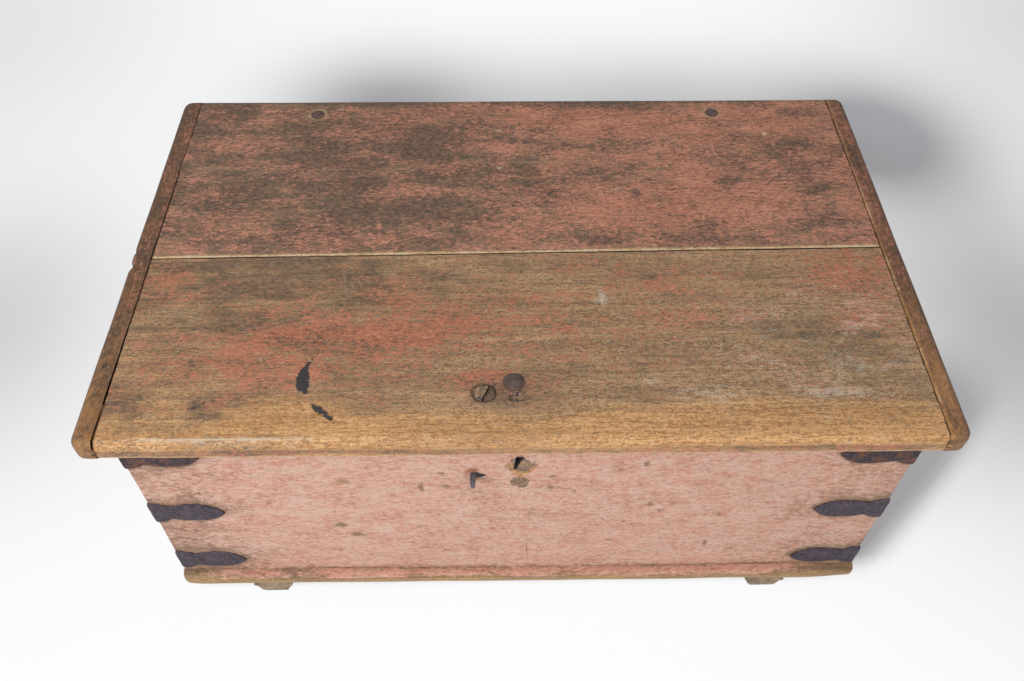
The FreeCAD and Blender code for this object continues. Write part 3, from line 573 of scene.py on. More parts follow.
def arc_height(distance, level_at, level, end_at, end):
    """Height of an arc that is level at one distance and comes to another height at another distance."""
    run = end_at - level_at
    radius = (run ** 2 + (level - end) ** 2) / (2 * (level - end))
    return level - radius + np.sqrt(np.maximum(radius ** 2 - (distance - level_at) ** 2, 0))


def strap_half_height(distance):
    """Half height of a corner strap at a distance from the bend: an arc falling from the root to the notched
    waist, one that swells to the leaf, and one from the leaf to the point."""
    root = arc_height(distance, 0.0, strap_root, strap_waist_in, strap_waist)
    swell = arc_height(distance, strap_leaf_in, strap_leaf, strap_waist_in, strap_waist)
    tip = arc_height(distance, strap_leaf_in, strap_leaf, strap_length, 0.0)
    leaf = np.where(distance < strap_leaf_in, swell, tip)
    return np.where(distance < strap_waist_in, root, leaf)


def strap_halo(distance, z, side, reach):
    """Stain round the three straps of one side: a bell of the distance from each outline, wider above it than
    below."""
    total = np.zeros(np.broadcast(distance, z).shape)
    half = np.where(distance < strap_length, strap_half_height(np.minimum(distance, strap_length)), 0.0)
    beyond = np.maximum(distance - strap_length, 0)
    for name in ("top", "middle", "bottom"):
        low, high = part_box(f"front_{side}_{name}_strap")
        level = (low.z + high.z) / 2
        rise = np.maximum(np.abs(z - level) - half, 0) * np.where(z > level, 0.7, 1.6)
        total += bell(np.hypot(rise, beyond), reach)
    return total


for name, low, high, turn, seed in (
    ("front", front_low, front_high, -1, 31), ("back", back_low, back_high, 1, 37),
):
    ends = [(sign * rebate_x, 0.002, 0.0008) for sign in (-1, 1)]
    rows = []
    if name == "front":
        ends += [(keyhole_x + 0.002, 0.030, 0.0012), (stub_x, 0.020, 0.002), (crack_x, 0.004, 0.001)]
        rows += [(keyhole_z - 0.022, 0.046, 0.0013)]
    face = crowd(low.z, high.z, 0.0045, rows)
    thickness = high.y - low.y
    section = board_section(face, crowd(low.z, high.z, inside_pitch), (0.0, thickness), body_rounds)

    def lay_front(along, across, up):
        """Board along x and standing up; its outer face is high in the section, and past the rebates the
        inner face lies further out."""
        inner = np.where(np.abs(along) > rebate_x, thickness - lap_depth, 0.0)
        depth = inner + up * (1 - inner / thickness)
        return along, (low.y if turn > 0 else high.y) + turn * depth, across

    rings = carry(section, rounded_ends(crowd(low.x, high.x, 0.0045, ends), 0.002), lay_front)
    depth = hand_worn(rings, section[2], (0.09, 0.013, 0.013), seed, body_chips)
    x, y, z = np.moveaxis(rings, -1, 0)
    outside = np.abs(y - (low.y if turn < 0 else high.y)) < painted_depth
    stain, bloom = [
        strap_halo(x + high.x, z, "left", reach) + strap_halo(high.x - x, z, "right", reach)
        for reach in (strap_stain, strap_bloom)
    ]
    bottom = ease(-z, -0.25, -0.10)
    near_end = ease(np.abs(x), 0.30, 0.56)
    low_edge = bell(z - low.z, low_stain)
    rough = 0.10 * drift(rings, (0.15, 0.06, 0.06), seed + 5)
    paint = 1.10 - 0.14 * near_end - 0.3 * low_edge - 0.10 * bloom - 0.45 * stain - 0.4 * section[2] + rough
    grime = 0.04 + 0.20 * near_end + 0.3 * low_edge + 0.14 * bloom + (0.45 + 0.7 * bottom) * stain - rough
    grime = grime + 0.05 * ease(x, 0.0, 0.4) - 0.10 * ease(x, 0.44, 0.56) + 0.38 * ease(-x, 0.42, 0.56)
    gold = np.full_like(x, 0.45)
    tar = np.zeros_like(x)
    rust = 0.50 * stain * (1 - bottom)
    if name == "front":
        ragged = 0.0009 * drift(rings, 0.007, 5) + 0.0007 * drift(rings, 0.003, 6)
        rise = z - keyhole_z
        left_edge = keyhole_x + keyhole_left + keyhole_left_lean * rise
        right_edge = keyhole_x + keyhole_right + keyhole_right_lean * rise
        hole = np.maximum.reduce([left_edge - x, x - right_edge, -keyhole_fall - rise, rise - keyhole_rise])
        hole = hole + 0.6 * ragged
        pit = ease(-hole, -0.0005, 0.0006)
        flank = ease(flank_breadth - (x - right_edge), 0.0, flank_breadth)
        flank = flank * ease(x - left_edge, -0.0005, 0.0005)
        flank = flank * ease(-rise, -0.002, 0.006) * ease(rise, -0.026, -0.021)
        lozenge = 1 - np.abs(x - keyhole_x - 0.0065) / 0.0235 - np.abs(rise + 0.014) / 0.031 + ragged * 240
        lobe = 1 - np.abs((x - lower_scar_x) / 0.014) ** 2.5 - np.abs((z - lower_scar_z) / 0.0155) ** 2.5
        scar = ease(lozenge, -0.05, 0.10)
        lower_scar = ease(lobe + ragged * 420, -0.05, 0.25)
        bared = np.maximum(scar, lower_scar)
        rim = np.maximum(
            bell(lozenge - 0.10, 0.13) * ease(-rise - 0.3 * x, 0.004, 0.016),
            blots(x, z, [
                (-0.010, 0.357, 0.011, 0.004, 1.0), (-0.014, 0.374, 0.003, 0.010, 0.8),
                (0.006, 0.360, 0.012, 0.003, 0.6),
            ]),
        )
        stub_hole = 420 * ragged + blots(x, z, [
            (-0.063, 0.350, 0.006, 0.006, 1.2), (-0.067, 0.355, 0.007, 0.006, 1.4),
            (-0.055, 0.352, 0.005, 0.003, 0.9),
        ])
        dents = blots(x, z, [(*nick, 1.0) for nick in nicks])
        depth = depth + outside * (
            keyhole_depth * pit + flank_depth * flank * (1 - pit) + scar_depth * scar
            + lower_scar_depth * lower_scar + stub_hole_depth * np.clip(stub_hole, 0, 1) + nick_depth * dents
        )
        crack = bell(x - crack_x - 0.002 * np.sin(z * 30), 0.0012) * ease(z, 0.08, 0.10)
        crack = crack * ease(-z, -0.31, -0.28) * (0.35 + 0.65 * ease(-z, -0.15, -0.12))
        smears = 0.14 * bell(z - 0.266 - 0.003 * x, 0.0025) * ease(x, -0.34, -0.25) + blots(x, z, [
            (-0.26, 0.178, 0.012, 0.01, 0.5), (-0.40, 0.36, 0.06, 0.03, 0.15),
            (-0.066, 0.345, 0.020, 0.022, 0.30), (-0.100, 0.372, 0.010, 0.003, 0.5),
        ])
        paint = paint - 1.6 * bared - 1.2 * flank - 1.6 * dents - 1.0 * rim
        grime = grime + 0.36 * scar + 0.42 * lower_scar - 0.8 * rim - 0.4 * flank
        grime = grime + 0.85 * dents + 1.0 * crack + smears
        gold = gold - 0.45 * bared + 1.1 * rim + 0.30 * flank
        # The keyhole and the hole beside the stub are painted black inside: painted shade, carried in the tar
        # share.
        tar = 1.4 * ease(-hole, -0.0014, -0.0004) + 0.9 * ease(stub_hole, 0.3, 0.9)
        rust = rust + blots(x, z, [(-0.071, 0.367, 0.010, 0.008, 0.9), (-0.08, 0.35, 0.008, 0.015, 0.5)])
    shown = outside[..., None]
    wear = np.where(shown, shares_of(paint, grime, gold, 0.05), [0.0, 0.35, 0.3, 0.05])
    marks = np.where(shown, shares_of(tar, 0.0, rust, 0.25), [0.0, 0.0, 0.0, 0.25])
    piece = skin(f"{name}_board_worn", set_back(rings, depth), body_paint, wear=wear, marks=marks)
    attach(piece, "chest")
    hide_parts(f"{name}_board")

for side, sign, seed in (("left", -1, 41), ("right", 1, 47)):
    low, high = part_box(f"{side}_end_board")
    face = crowd(low.z, high.z, 0.006)
    thickness = high.x - low.x
    section = board_section(face, crowd(low.z, high.z, inside_pitch), (0.0, thickness), body_rounds)

    def lay_end(along, across, up):
        """Board along y and standing up, its outer face high in the section."""
        return (low.x if sign > 0 else high.x) + sign * up, along, across

    rings = carry(section, rounded_ends(crowd(low.y, high.y, 0.006), 0.0015), lay_end)
    depth = hand_worn(rings, section[2], (0.013, 0.09, 0.013), seed, body_chips)
    x, y, z = np.moveaxis(rings, -1, 0)
    outside = (np.abs(x) > front_high.x - painted_depth)[..., None]
    stain = strap_halo(y - front_low.y, z, side, end_strap_stain)
    stain = stain + strap_halo(back_high.y - y, z, side, end_strap_stain)
    low_edge = bell(z - low.z, low_stain)
    rubbed = blots(y, z, [(0.0, 0.25, 0.10, 0.07, 1.0)])
    paint = 1.05 - 0.3 * low_edge - 0.35 * stain - 0.45 * rubbed - 0.4 * section[2]
    grime = 0.12 + 0.3 * low_edge + 0.4 * stain + 0.15 * rubbed
    wear = np.where(outside, shares_of(paint, grime, 0.4, 0.05), [0.0, 0.35, 0.4, 0.05])
    marks = np.where(outside, shares_of(0.0, 0.0, 0.35 * stain, 0.25), [0.0, 0.0, 0.0, 0.25])
    piece = skin(f"{side}_end_worn", set_back(rings, depth), end_paint, wear=wear, marks=marks)
    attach(piece, "chest")
    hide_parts(f"{side}_end_board")


# Corner straps: twelve irons bent round the corners, forged thin with a notched waist and a full leaf at each
# end, held by two nails a leg. The iron is a dull purple-black; the top pairs, next to the lid, rust most.
strap_thickness = 0.003
strap_edge = 0.0008
strap_leg_rings = 72
strap_bend_rings = 5
strap_face_lines = 23
strap_black = (52, 45, 50)
strap_purple = (94, 83, 93)
strap_rust = (148, 94, 64)
deep_rust = (80, 52, 40)


def forged_iron(name, black, purple, rust, rust_share):
    """Old wrought iron: dull black with a purple-grey bloom, scale in small pits, and orange-brown rust where
    a blotchy noise passes its share."""
    material, place = new_finish(name)
    bloom = place.streaks((0.018, 0.018, 0.018), 5.0, 0.7)
    scale = place.streaks((0.005, 0.005, 0.005), 5.0, 0.7)
    grit = place.streaks((0.0012, 0.0012, 0.0012), 2.0, 0.6)
    rusty = (bloom * 0.6 + scale * 0.4 + rust_share - 0.5).step(0.50, 0.62)
    colour = (bloom * 0.3 + scale * 0.5 + grit * 0.2).step(0.40, 0.60).tint(black, purple)
    colour = (rusty * 0.8).tint(colour, grit.step(0.35, 0.65).tint(rust, deep_rust))
    roughness = 0.62 + scale * 0.3
    constants = {"Metallic": 0.2, "Specular IOR Level": 0.35}
    close_finish(colour, roughness, scale * 0.7 + grit * 0.3, 0.0008, constants)
    return material


strap_iron = forged_iron("strap_iron", strap_black, strap_purple, strap_rust, 0.44)
rusty_iron = forged_iron("rusty_iron", (44, 38, 40), (86, 76, 82), strap_rust, 0.54)
distance = np.linspace(0.0004, strap_length, strap_leg_rings)
along = np.concatenate([-distance[::-1], np.zeros(strap_bend_rings), distance])
bend = np.linspace(0, np.pi / 2, strap_bend_rings + 2)[1:-1]
angle = np.concatenate([np.zeros(strap_leg_rings), bend, np.full(strap_leg_rings, np.pi / 2)])[:, None]
half = np.maximum(strap_half_height(np.abs(along)), strap_edge)[:, None]
across = np.linspace(-1, 1, strap_face_lines)
height_share = np.concatenate([across, across[::-1]])
outer = strap_thickness * (1 - 0.75 * np.abs(across) ** 9)
lift = np.concatenate([outer, np.full(strap_face_lines, -strap_edge)])
out_x = np.sin(angle) * lift - np.clip(-along, 0, None)[:, None]
out_y = np.cos(angle) * lift - np.clip(along, 0, None)[:, None]
for face, turn in (("front", -1), ("back", 1)):
    for side, sign in (("left", -1), ("right", 1)):
        for step, level in enumerate(("top", "middle", "bottom")):
            node = f"{face}_{side}_{level}_strap"
            low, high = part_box(node)
            corner_y = front_low.y if turn < 0 else back_high.y
            ring_x = sign * (front_high.x + out_x)
            ring_y = corner_y + turn * out_y
            ring_z = (low.z + high.z) / 2 + half * height_share
            rings = np.stack(np.broadcast_arrays(ring_x, ring_y, ring_z), -1)
            seed = 60 + 3 * step + 11 * (sign > 0) + 23 * (turn > 0)
            dent = 0.0003 * (1 + drift(rings, 0.012, seed)) + 0.00012 * (1 + drift(rings, 0.004, seed + 1))
            dent = dent * np.repeat([1.0, 0.0], strap_face_lines)
            nibble = 0.0011 * np.clip(drift(rings, 0.007, seed + 2), 0, 1) * np.abs(height_share) ** 6
            rings = set_back(rings, dent)
            rings[..., 2] -= nibble * np.sign(height_share)
            piece = skin(f"{node}_forged", rings, rusty_iron if level == "top" else strap_iron)
            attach(piece, "chest")
            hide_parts(node)


# Irons that keep their CAD shape: nails, lock, stub, handles and hinges, hand-forged and darkened. The rivets
# through the lid are browner, rubbed by hands, and the corner nails were painted over with the boards.
dark_iron = forged_iron("dark_iron", (58, 52, 56), (92, 84, 92), (124, 80, 54), 0.42)
rivet_iron = forged_iron("rivet_iron", (70, 56, 52), (106, 89, 84), (126, 84, 62), 0.50)
grey_iron = forged_iron("grey_iron", (74, 71, 76), (112, 108, 114), (126, 84, 62), 0.36)
nail_paint = bare_wood("nail_paint", 0, (206, 160, 142), (176, 130, 112), (150, 112, 94))
iron_nodes = [
    "base_nails", "runner_nails", "hinge_leaf_nails", "lid_strap_nails", "cleat_nails", "lock_plate",
    "lock_case", "lock_spring", "lock_nails", "lock_bolt", "lock_staple", "staple_plate",
]
for side in ("left", "right"):
    pair_nodes = ("handle", "handle_eyes", "hinge_back_leaf", "hinge_pin", "hinge_lid_strap")
    iron_nodes += [f"{side}_{node}" for node in pair_nodes]
finishes = {node: dark_iron for node in iron_nodes}
finishes.update({"hinge_rivets": rivet_iron, "lock_rivet": rivet_iron})
finishes.update({"strap_nails": strap_iron, "corner_nails": nail_paint, "front_spike": grey_iron})
for node, finish in finishes.items():
    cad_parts[node].data.materials.clear()
    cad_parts[node].data.materials.append(finish)


# Lid: two wide boards with a tongued joint between them, a little askew, and tongues into the end cleats.
# Paint is left on the rear board, worn to brown wood on the front one, and the front edge is rubbed golden,
# with a painted highlight along its rounding.
lid_front_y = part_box("lid_front_board")[0].y
lid_rear_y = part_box("lid_rear_board")[1].y
cleat_low, cleat_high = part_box("lid_right_cleat")
plug_low, plug_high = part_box("lid_plug")
wedge_low, wedge_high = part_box("staple_wedge")
rivet_low, rivet_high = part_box("lock_rivet")
lid_top = cleat_high.z
lid_under = cleat_low.z
board_x = cleat_low.x - 0.0008
joint_left = -0.030
joint_right = -0.015
joint_gap = 0.0015
joint_tongue = 0.002
tongue_length = 0.011
tongue_low = 0.474
tongue_high = 0.484
lid_front_width = 0.343
lid_rear_width = 0.388
lid_top_round = 0.013
lid_bottom_round = 0.004
lid_pitch = 0.0031
lid_arris = 0.009
lid_half_length = 0.6
hinge_rivet_x = 0.3525
hinge_rivet_y = 0.327
plug_pocket_radius = 0.0165
plug_pocket_depth = 0.006
wedge_pocket_half_length = 0.010
wedge_pocket_half_width = 0.0045
wedge_pocket_depth = 0.004
plug_ring = 0.0163
rivet_ring = 0.0150
plug_middle = (plug_low + plug_high) / 2
wedge_middle = (wedge_low + wedge_high) / 2
rivet_middle = (rivet_low + rivet_high) / 2
# The front board's scuff tone also colours the painted highlight along its rounded front edge.
lid_front_paint = painted_wood(
    "lid_front_paint", 0, (0, 0, 1), paints=((158, 94, 70), (192, 124, 96)),
    woods=((118, 94, 70), (178, 149, 118), (158, 111, 67), (222, 173, 119)),
    soils=((74, 61, 50), (124, 102, 82)), scuff=(208, 194, 174), streak=0.85, fleck=0.48, edge=0.18,
)
lid_rear_paint = painted_wood(
    "lid_rear_paint", 0, (0, 0, 1), paints=((166, 104, 83), (207, 145, 121)),
    woods=((108, 88, 70), (158, 132, 108), (152, 116, 74), (204, 166, 118)),
    soils=((56, 47, 41), (108, 90, 76)), scuff=(212, 192, 164), streak=0.9, fleck=0.34, edge=0.28,
)


def joint_at(along):
    """Place of the askew joint along the lid."""
    return joint_left + (along + board_x) * (joint_right - joint_left) / (2 * board_x)


def stroke(a, b, points):
    """Share of a drawn line through points given as (a, b, half width): 1 well inside it, 0 well outside,
    from the distance to each tapering stretch."""
    best = np.zeros(np.broadcast(a, b).shape)
    for (a0, b0, width0), (a1, b1, width1) in zip(points, points[1:]):
        run_a, run_b = a1 - a0, b1 - b0
        part = np.clip(((a - a0) * run_a + (b - b0) * run_b) / (run_a ** 2 + run_b ** 2), 0, 1)
        gap = np.hypot(a - a0 - part * run_a, b - b0 - part * run_b) - width0 - part * (width1 - width0)
        best = np.maximum(best, np.clip(0.5 - gap / 0.010, 0, 1))
    return best


def strokes(a, b, rows):
    """Strongest of several drawn lines, each given as its share and its points."""
    return np.maximum.reduce([share * stroke(a, b, points) for share, *points in rows])


def front_board_shares(rings, seed):
    """Shares of the front board's top: red left in streaks, gold growing to the front edge, a red lip, dirt
    round the rivet and plug, a spill of tar and scuffs, and a painted highlight with dark flecks along the
    rounded front edge."""
    x, y, z = np.moveaxis(rings, -1, 0)
    rough = 0.12 * drift(rings, (0.10, 0.04, 0.05), seed)
    border = -y + 0.025 * drift(rings, (0.16, 0.05, 0.05), seed + 2) - 0.020 * ease(-x, 0.30, 0.45)
    front = ease(border, 0.285, 0.360)
    lip = ease(-z, -0.4835, -0.4805) * ease(-y, 0.30, 0.36)
    rounding = ease(-y, 0.350, 0.366) * (1 - lip)
    arris = bell(z - lid_under - 0.002, 0.0025) * ease(-y, 0.34, 0.37)
    seam = bell(joint_at(x) - y, 0.0022)
    red = blots(x, y, [
        (0.52, -0.09, 0.08, 0.09, 0.48), (-0.27, -0.185, 0.17, 0.024, 0.50), (-0.15, -0.19, 0.05, 0.02, 0.25),
        (-0.06, -0.14, 0.12, 0.05, 0.35), (-0.52, -0.07, 0.07, 0.05, 0.40), (0.25, -0.16, 0.08, 0.03, 0.30),
        (-0.045, -0.268, 0.055, 0.024, 0.70), (-0.33, -0.22, 0.12, 0.06, 0.30),
        (0.33, -0.10, 0.10, 0.05, 0.15), (-0.30, -0.11, 0.25, 0.05, 0.15), (-0.15, -0.23, 0.12, 0.05, 0.25),
        (0.08, -0.20, 0.10, 0.04, 0.30), (0.15, -0.09, 0.15, 0.05, 0.15), (-0.42, -0.26, 0.10, 0.05, 0.20),
        (-0.015, -0.294, 0.030, 0.014, 0.60), (0.48, -0.165, 0.07, 0.022, 0.25),
    ])
    dark = blots(x, y, [
        (-0.38, -0.08, 0.18, 0.05, 0.50), (0.21, -0.075, 0.05, 0.03, 0.32), (0.35, -0.06, 0.04, 0.02, 0.28),
        (0.42, -0.19, 0.10, 0.018, 0.32), (-0.43, -0.17, 0.08, 0.010, 0.42), (0.46, -0.22, 0.08, 0.03, 0.20),
        (0.50, -0.25, 0.05, 0.05, 0.20), (-0.05, -0.290, 0.030, 0.022, 0.45),
        (-0.01, -0.285, 0.028, 0.030, 0.30), (-0.15, -0.10, 0.20, 0.05, 0.10),
        (0.54, -0.28, 0.02, 0.05, 0.25), (-0.53, -0.30, 0.03, 0.05, 0.20),
        (-0.440, -0.310, 0.012, 0.009, 0.90), (-0.40, -0.045, 0.20, 0.015, 0.25),
        (-0.36, -0.16, 0.08, 0.012, 0.25),
    ])
    left = ease(-x, 0.0, 0.35) * ease(-y, 0.03, 0.08)
    paint = 0.16 + red + 0.08 * left - 0.5 * front + 0.7 * lip - 0.8 * arris + rough
    grime = 0.30 + 0.07 * ease(-x, -0.1, 0.3) - 0.14 * ease(x, -0.2, 0.4) + dark + rough
    grime = grime - 0.18 * front + 0.30 * lip - 0.5 * arris + 0.4 * seam
    gold = 0.24 + 0.86 * front - 0.5 * lip + 0.9 * arris + 0.20 * ease(-x, 0.2, 0.55) * ease(-y, 0.15, 0.26)
    # Left share where the painted sheen on the rounded front edge is strongest, and a painted highlight line
    # along that edge.
    painted_sheen_left = ease(-x, 0.05, 0.40)
    painted_highlight_line = bell(y + 0.3640, 0.0024) * ease(x, -0.56, -0.50) * ease(-x, 0.16, 0.34)
    dusty = ease(x, 0.05, 0.35) * ease(-y, 0.05, 0.14) * ease(y, -0.33, -0.27)
    beside = np.exp(-((x - wedge_middle.x - 0.002) / 0.007) ** 4 - ((y - wedge_middle.y) / 0.0085) ** 4)
    # On the rounded front edge the pale share is a painted highlight, strongest to the left, with the
    # brighter painted highlight line; the rest is scuffs, dust and the rubbed lower arris.
    pale = 0.02 + (0.14 + 0.10 * painted_sheen_left) * rounding + 0.6 * arris + 0.21 * dusty + 0.36 * painted_highlight_line + 0.4 * beside
    pale = pale + blots(x, y, [
        (0.43, -0.298, 0.09, 0.013, 0.20), (0.46, -0.258, 0.03, 0.020, 0.10),
        (-0.47, -0.220, 0.09, 0.040, 0.14), (0.25, -0.299, 0.05, 0.014, 0.26),
        (0.178, -0.272, 0.02, 0.012, 0.22), (0.50, -0.10, 0.08, 0.08, 0.10),
    ])
    spill = stroke(x, y, [
        (-0.282, -0.216, 0.0), (-0.292, -0.227, 0.0018), (-0.299, -0.240, 0.0034), (-0.303, -0.253, 0.0062),
        (-0.303, -0.266, 0.0096), (-0.3015, -0.278, 0.0090), (-0.2965, -0.288, 0.0035),
    ])
    drips = strokes(x, y, [
        (0.95, (-0.287, -0.306, 0.0012), (-0.281, -0.313, 0.0034)),
        (0.95, (-0.277, -0.316, 0.0052), (-0.269, -0.322, 0.0050)),
        (0.95, (-0.265, -0.326, 0.0040), (-0.257, -0.332, 0.0030)),
        (0.85, (-0.305, -0.304, 0.0012), (-0.300, -0.309, 0.0016)),
        (0.85, (-0.299, -0.315, 0.0012), (-0.295, -0.318, 0.0014)),
        (0.56, (-0.446, -0.313, 0.0050), (-0.437, -0.310, 0.0060)),
        (0.80, (wedge_middle.x - 0.006, -0.309, 0.001), (wedge_middle.x - 0.005, -0.291, 0.001)),
    ])
    ring = np.hypot(x - plug_middle.x, y - plug_middle.y) + 0.002 * drift(rings, 0.008, seed + 1)
    turned = np.arctan2(y - plug_middle.y, x - plug_middle.x)
    head = np.hypot(x - rivet_middle.x, y - rivet_middle.y)
    tar = np.maximum.reduce([
        spill * (0.8 + 0.2 * ease(-y, 0.232, 0.252)), drips,
        # Dark flecks along the rounded front edge, fewer under the painted highlight line.
        (0.32 + 0.08 * painted_sheen_left) * rounding * (1 - 0.5 * painted_highlight_line),
        (0.36 + 0.24 * np.sin(2 * turned + 0.2) ** 2) * bell(ring - plug_ring, 0.0026),
        0.55 * bell(head - rivet_ring, 0.0020), 0.8 * bell(joint_at(x) - joint_gap / 2 - y, 0.0012),
    ])
    chalk = np.maximum.reduce([
        blots(x, y, [(0.122, -0.124, 0.016, 0.013, 0.70), (0.121, -0.106, 0.008, 0.010, 0.45)]),
        blots(x, y, [(0.485, -0.114, 0.006, 0.012, 0.5), (0.006, -0.134, 0.006, 0.006, 0.45)]),
        strokes(x, y, [
            (0.95, (-0.331, -0.228, 0.001), (-0.334, -0.240, 0.001)),
            (0.80, (-0.372, -0.227, 0.001), (-0.364, -0.231, 0.001)),
            (0.50, (0.458, -0.250, 0.0004), (0.464, -0.272, 0.0004)),
            (0.50, (0.472, -0.248, 0.0004), (0.466, -0.264, 0.0004)),
            (0.45, (0.300, -0.172, 0.0003), (0.305, -0.197, 0.0003)),
        ]),
    ])
    return shares_of(paint, grime, gold, pale), shares_of(tar, chalk, 0.0, 0.25 + 0.2 * ease(x, 0.0, 0.4))


def rear_board_shares(rings, seed):
    """Shares of the rear board's top: red paint, fuller to the right, under dark patches, a dirty rear edge,
    a bare rounded arris along the joint and crushed wood round the rivets."""
    x, y, z = np.moveaxis(rings, -1, 0)
    rough = 0.12 * drift(rings, (0.10, 0.04, 0.05), seed)
    dark = blots(x, y, [
        (-0.16, 0.243, 0.065, 0.042, 0.78), (-0.37, 0.260, 0.10, 0.050, 0.28),
        (-0.27, 0.100, 0.07, 0.110, 0.30), (-0.28, 0.160, 0.04, 0.040, 0.15),
        (-0.45, 0.118, 0.04, 0.025, 0.30), (0.48, 0.238, 0.045, 0.014, 0.55),
        (0.355, 0.143, 0.02, 0.012, 0.55), (0.49, 0.163, 0.07, 0.035, 0.30),
        (-0.51, 0.323, 0.05, 0.040, 0.30), (-0.04, 0.153, 0.12, 0.025, 0.22),
        (0.09, 0.360, 0.30, 0.012, 0.25), (-0.16, 0.053, 0.08, 0.045, 0.22),
        (-0.55, 0.253, 0.025, 0.09, 0.20), (0.195, 0.119, 0.007, 0.007, 0.80), (0.15, 0.35, 0.10, 0.01, 0.2),
    ])
    red = blots(x, y, [
        (0.04, 0.323, 0.20, 0.04, 0.25), (0.17, 0.293, 0.15, 0.05, 0.20), (0.39, 0.293, 0.12, 0.05, 0.22),
        (0.29, 0.083, 0.20, 0.06, 0.25), (-0.49, 0.063, 0.06, 0.04, 0.25), (-0.33, 0.283, 0.06, 0.03, 0.12),
    ])
    rightward = x / lid_half_length
    rear = bell(y - 0.373, 0.014)
    rim = bell(y - 0.3795, 0.0035)
    arris = bell(y - joint_at(x) - 0.0026, 0.0031) * (z > 0.480)
    crushed = bell(np.hypot(np.abs(x) - hinge_rivet_x, y - hinge_rivet_y) - 0.0145, 0.003)
    paint = 0.61 + 0.11 * rightward + red - 0.4 * rear - 1.4 * arris - 0.6 * crushed + rough
    grime = 0.485 - 0.07 * rightward + 0.95 * dark - 0.5 * red + 0.40 * rear - 0.7 * rim - 1.2 * arris
    grime = grime - 0.4 * crushed - rough
    gold = 0.12 + 0.85 * arris + 0.25 * rear + 0.3 * rim + 0.5 * crushed
    pale = 0.02 + 0.40 * arris + 0.12 * crushed
    chalk = blots(x, y, [
        (-0.032, 0.280, 0.014, 0.004, 0.75), (-0.030, 0.180, 0.009, 0.007, 0.75),
        (-0.313, 0.345, 0.010, 0.014, 0.5), (0.165, 0.125, 0.010, 0.012, 0.55),
        (0.436, 0.266, 0.004, 0.004, 1.5), (-0.15, 0.362, 0.03, 0.004, 0.4),
    ])
    groove = 0.9 * bell(y - joint_at(x) - joint_gap / 2, 0.0010) * (z < 0.4935)
    return shares_of(paint, grime, gold, pale), shares_of(groove, chalk, 0.0, 0.2)


for name, width, finish, seed in (
    ("front", lid_front_width, lid_front_paint, 71), ("rear", lid_rear_width, lid_rear_paint, 77),
):
    if name == "front":
        crowded = [(0.0, 0.02, 0.0015), (width, 0.006, 0.0010), (0.105, 0.060, 0.0017)]
        marked = [(-0.030, 0.045, 0.0018), (-0.285, 0.032, 0.0018)]
        rounds = (lid_bottom_round, 0.001, 0.0015, lid_top_round)
        joints = (None, (joint_gap + joint_tongue, tongue_low, tongue_high))
    else:
        crowded = [(0.0, 0.008, 0.0010), (width, 0.02, 0.0018)]
        marked = []
        rounds = (0.001, lid_bottom_round, lid_top_round, 0.0035)
        joints = (None, None)
    face = crowd(0.0, width, lid_pitch, crowded)
    back = crowd(0.0, width, inside_pitch)
    section = board_section(face, back, (lid_under, lid_top), rounds, joints, lid_arris)

    def lay_lid(along, across, up):
        """Board along x; its breadth is stretched between the lid's outer edge and the askew joint, and past
        its ends only the tongues go on."""
        if name == "front":
            near, far = lid_front_y, joint_at(along) - joint_gap / 2
        else:
            near, far = joint_at(along) + joint_gap / 2, lid_rear_y
        share = (up - lid_under) / (lid_top - lid_under)
        slim = tongue_low + share * (tongue_high - tongue_low)
        return along, near + across / width * (far - near), np.where(np.abs(along) > board_x, slim, up)

    stations, draw = rounded_ends(crowd(-board_x, board_x, lid_pitch, marked), 0.0006)
    tips = board_x + np.array([tongue_length, 0.00005])
    stations = np.concatenate([-tips, stations, tips[::-1]])
    rings = carry(section, (stations, np.pad(draw, 2)), lay_lid)
    x, y, z = np.moveaxis(rings, -1, 0)
    body = np.abs(x) <= board_x
    depth = hand_worn(rings, section[2], (0.09, 0.013, 0.013), seed) * body
    wear, marks = (front_board_shares if name == "front" else rear_board_shares)(rings, seed + 5)
    on_top = (z > lid_top - 0.001) & body
    if name == "front":
        plug_gap = np.hypot(x - plug_middle.x, y - plug_middle.y)
        depth = depth + on_top * plug_pocket_depth * ease(plug_pocket_radius - plug_gap, -0.0012, 0.0008)
        wedge_gap = np.maximum(
            np.abs(x - wedge_middle.x) - wedge_pocket_half_length,
            np.abs(y - wedge_middle.y) - wedge_pocket_half_width,
        )
        depth = depth + on_top * wedge_pocket_depth * ease(-wedge_gap, -0.0008, 0.0008)
    shown = ease(z, lid_under + 0.0005, lid_under + 0.004)[..., None]
    wear = wear * shown + (1 - shown) * np.array([0.0, 0.35, 0.3, 0.0])
    marks = marks * shown
    hidden = (np.abs(x) > board_x - 0.0002) & (y > lid_front_y + 0.006)
    marks[..., 0] = np.where(hidden, 1.0, marks[..., 0])
    piece = skin(f"lid_{name}_worn", set_back(rings, depth), finish, wear=wear, marks=marks)
    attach(piece, "lid")
    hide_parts(f"lid_{name}_board")


# Cleats: a board across each end of the lid, grooved for the boards' tongues and nailed through. Brown and
# dark behind, rubbed golden towards the front corners; the left one is chipped and has drawn off its seam.
cleat_corner = 0.019
cleat_groove = 0.0115
cleat_outer_strip = 0.025
cleat_soils = ((58, 47, 41), (98, 77, 61))
cleat_paint = painted_wood(
    "cleat_paint", 1, (0, 0, 1), paints=((134, 88, 72), (170, 114, 94)),
    woods=((84, 61, 43), (128, 93, 64), (134, 93, 54), (182, 132, 82)),
    soils=cleat_soils, scuff=(212, 186, 150),
)


def round_fall(gap, radius):
    """How far a quarter round of a radius falls away at a gap from the edge that it runs out at."""
    inside = np.clip(radius - gap, 0, radius)
    return radius - np.sqrt(radius ** 2 - inside ** 2)


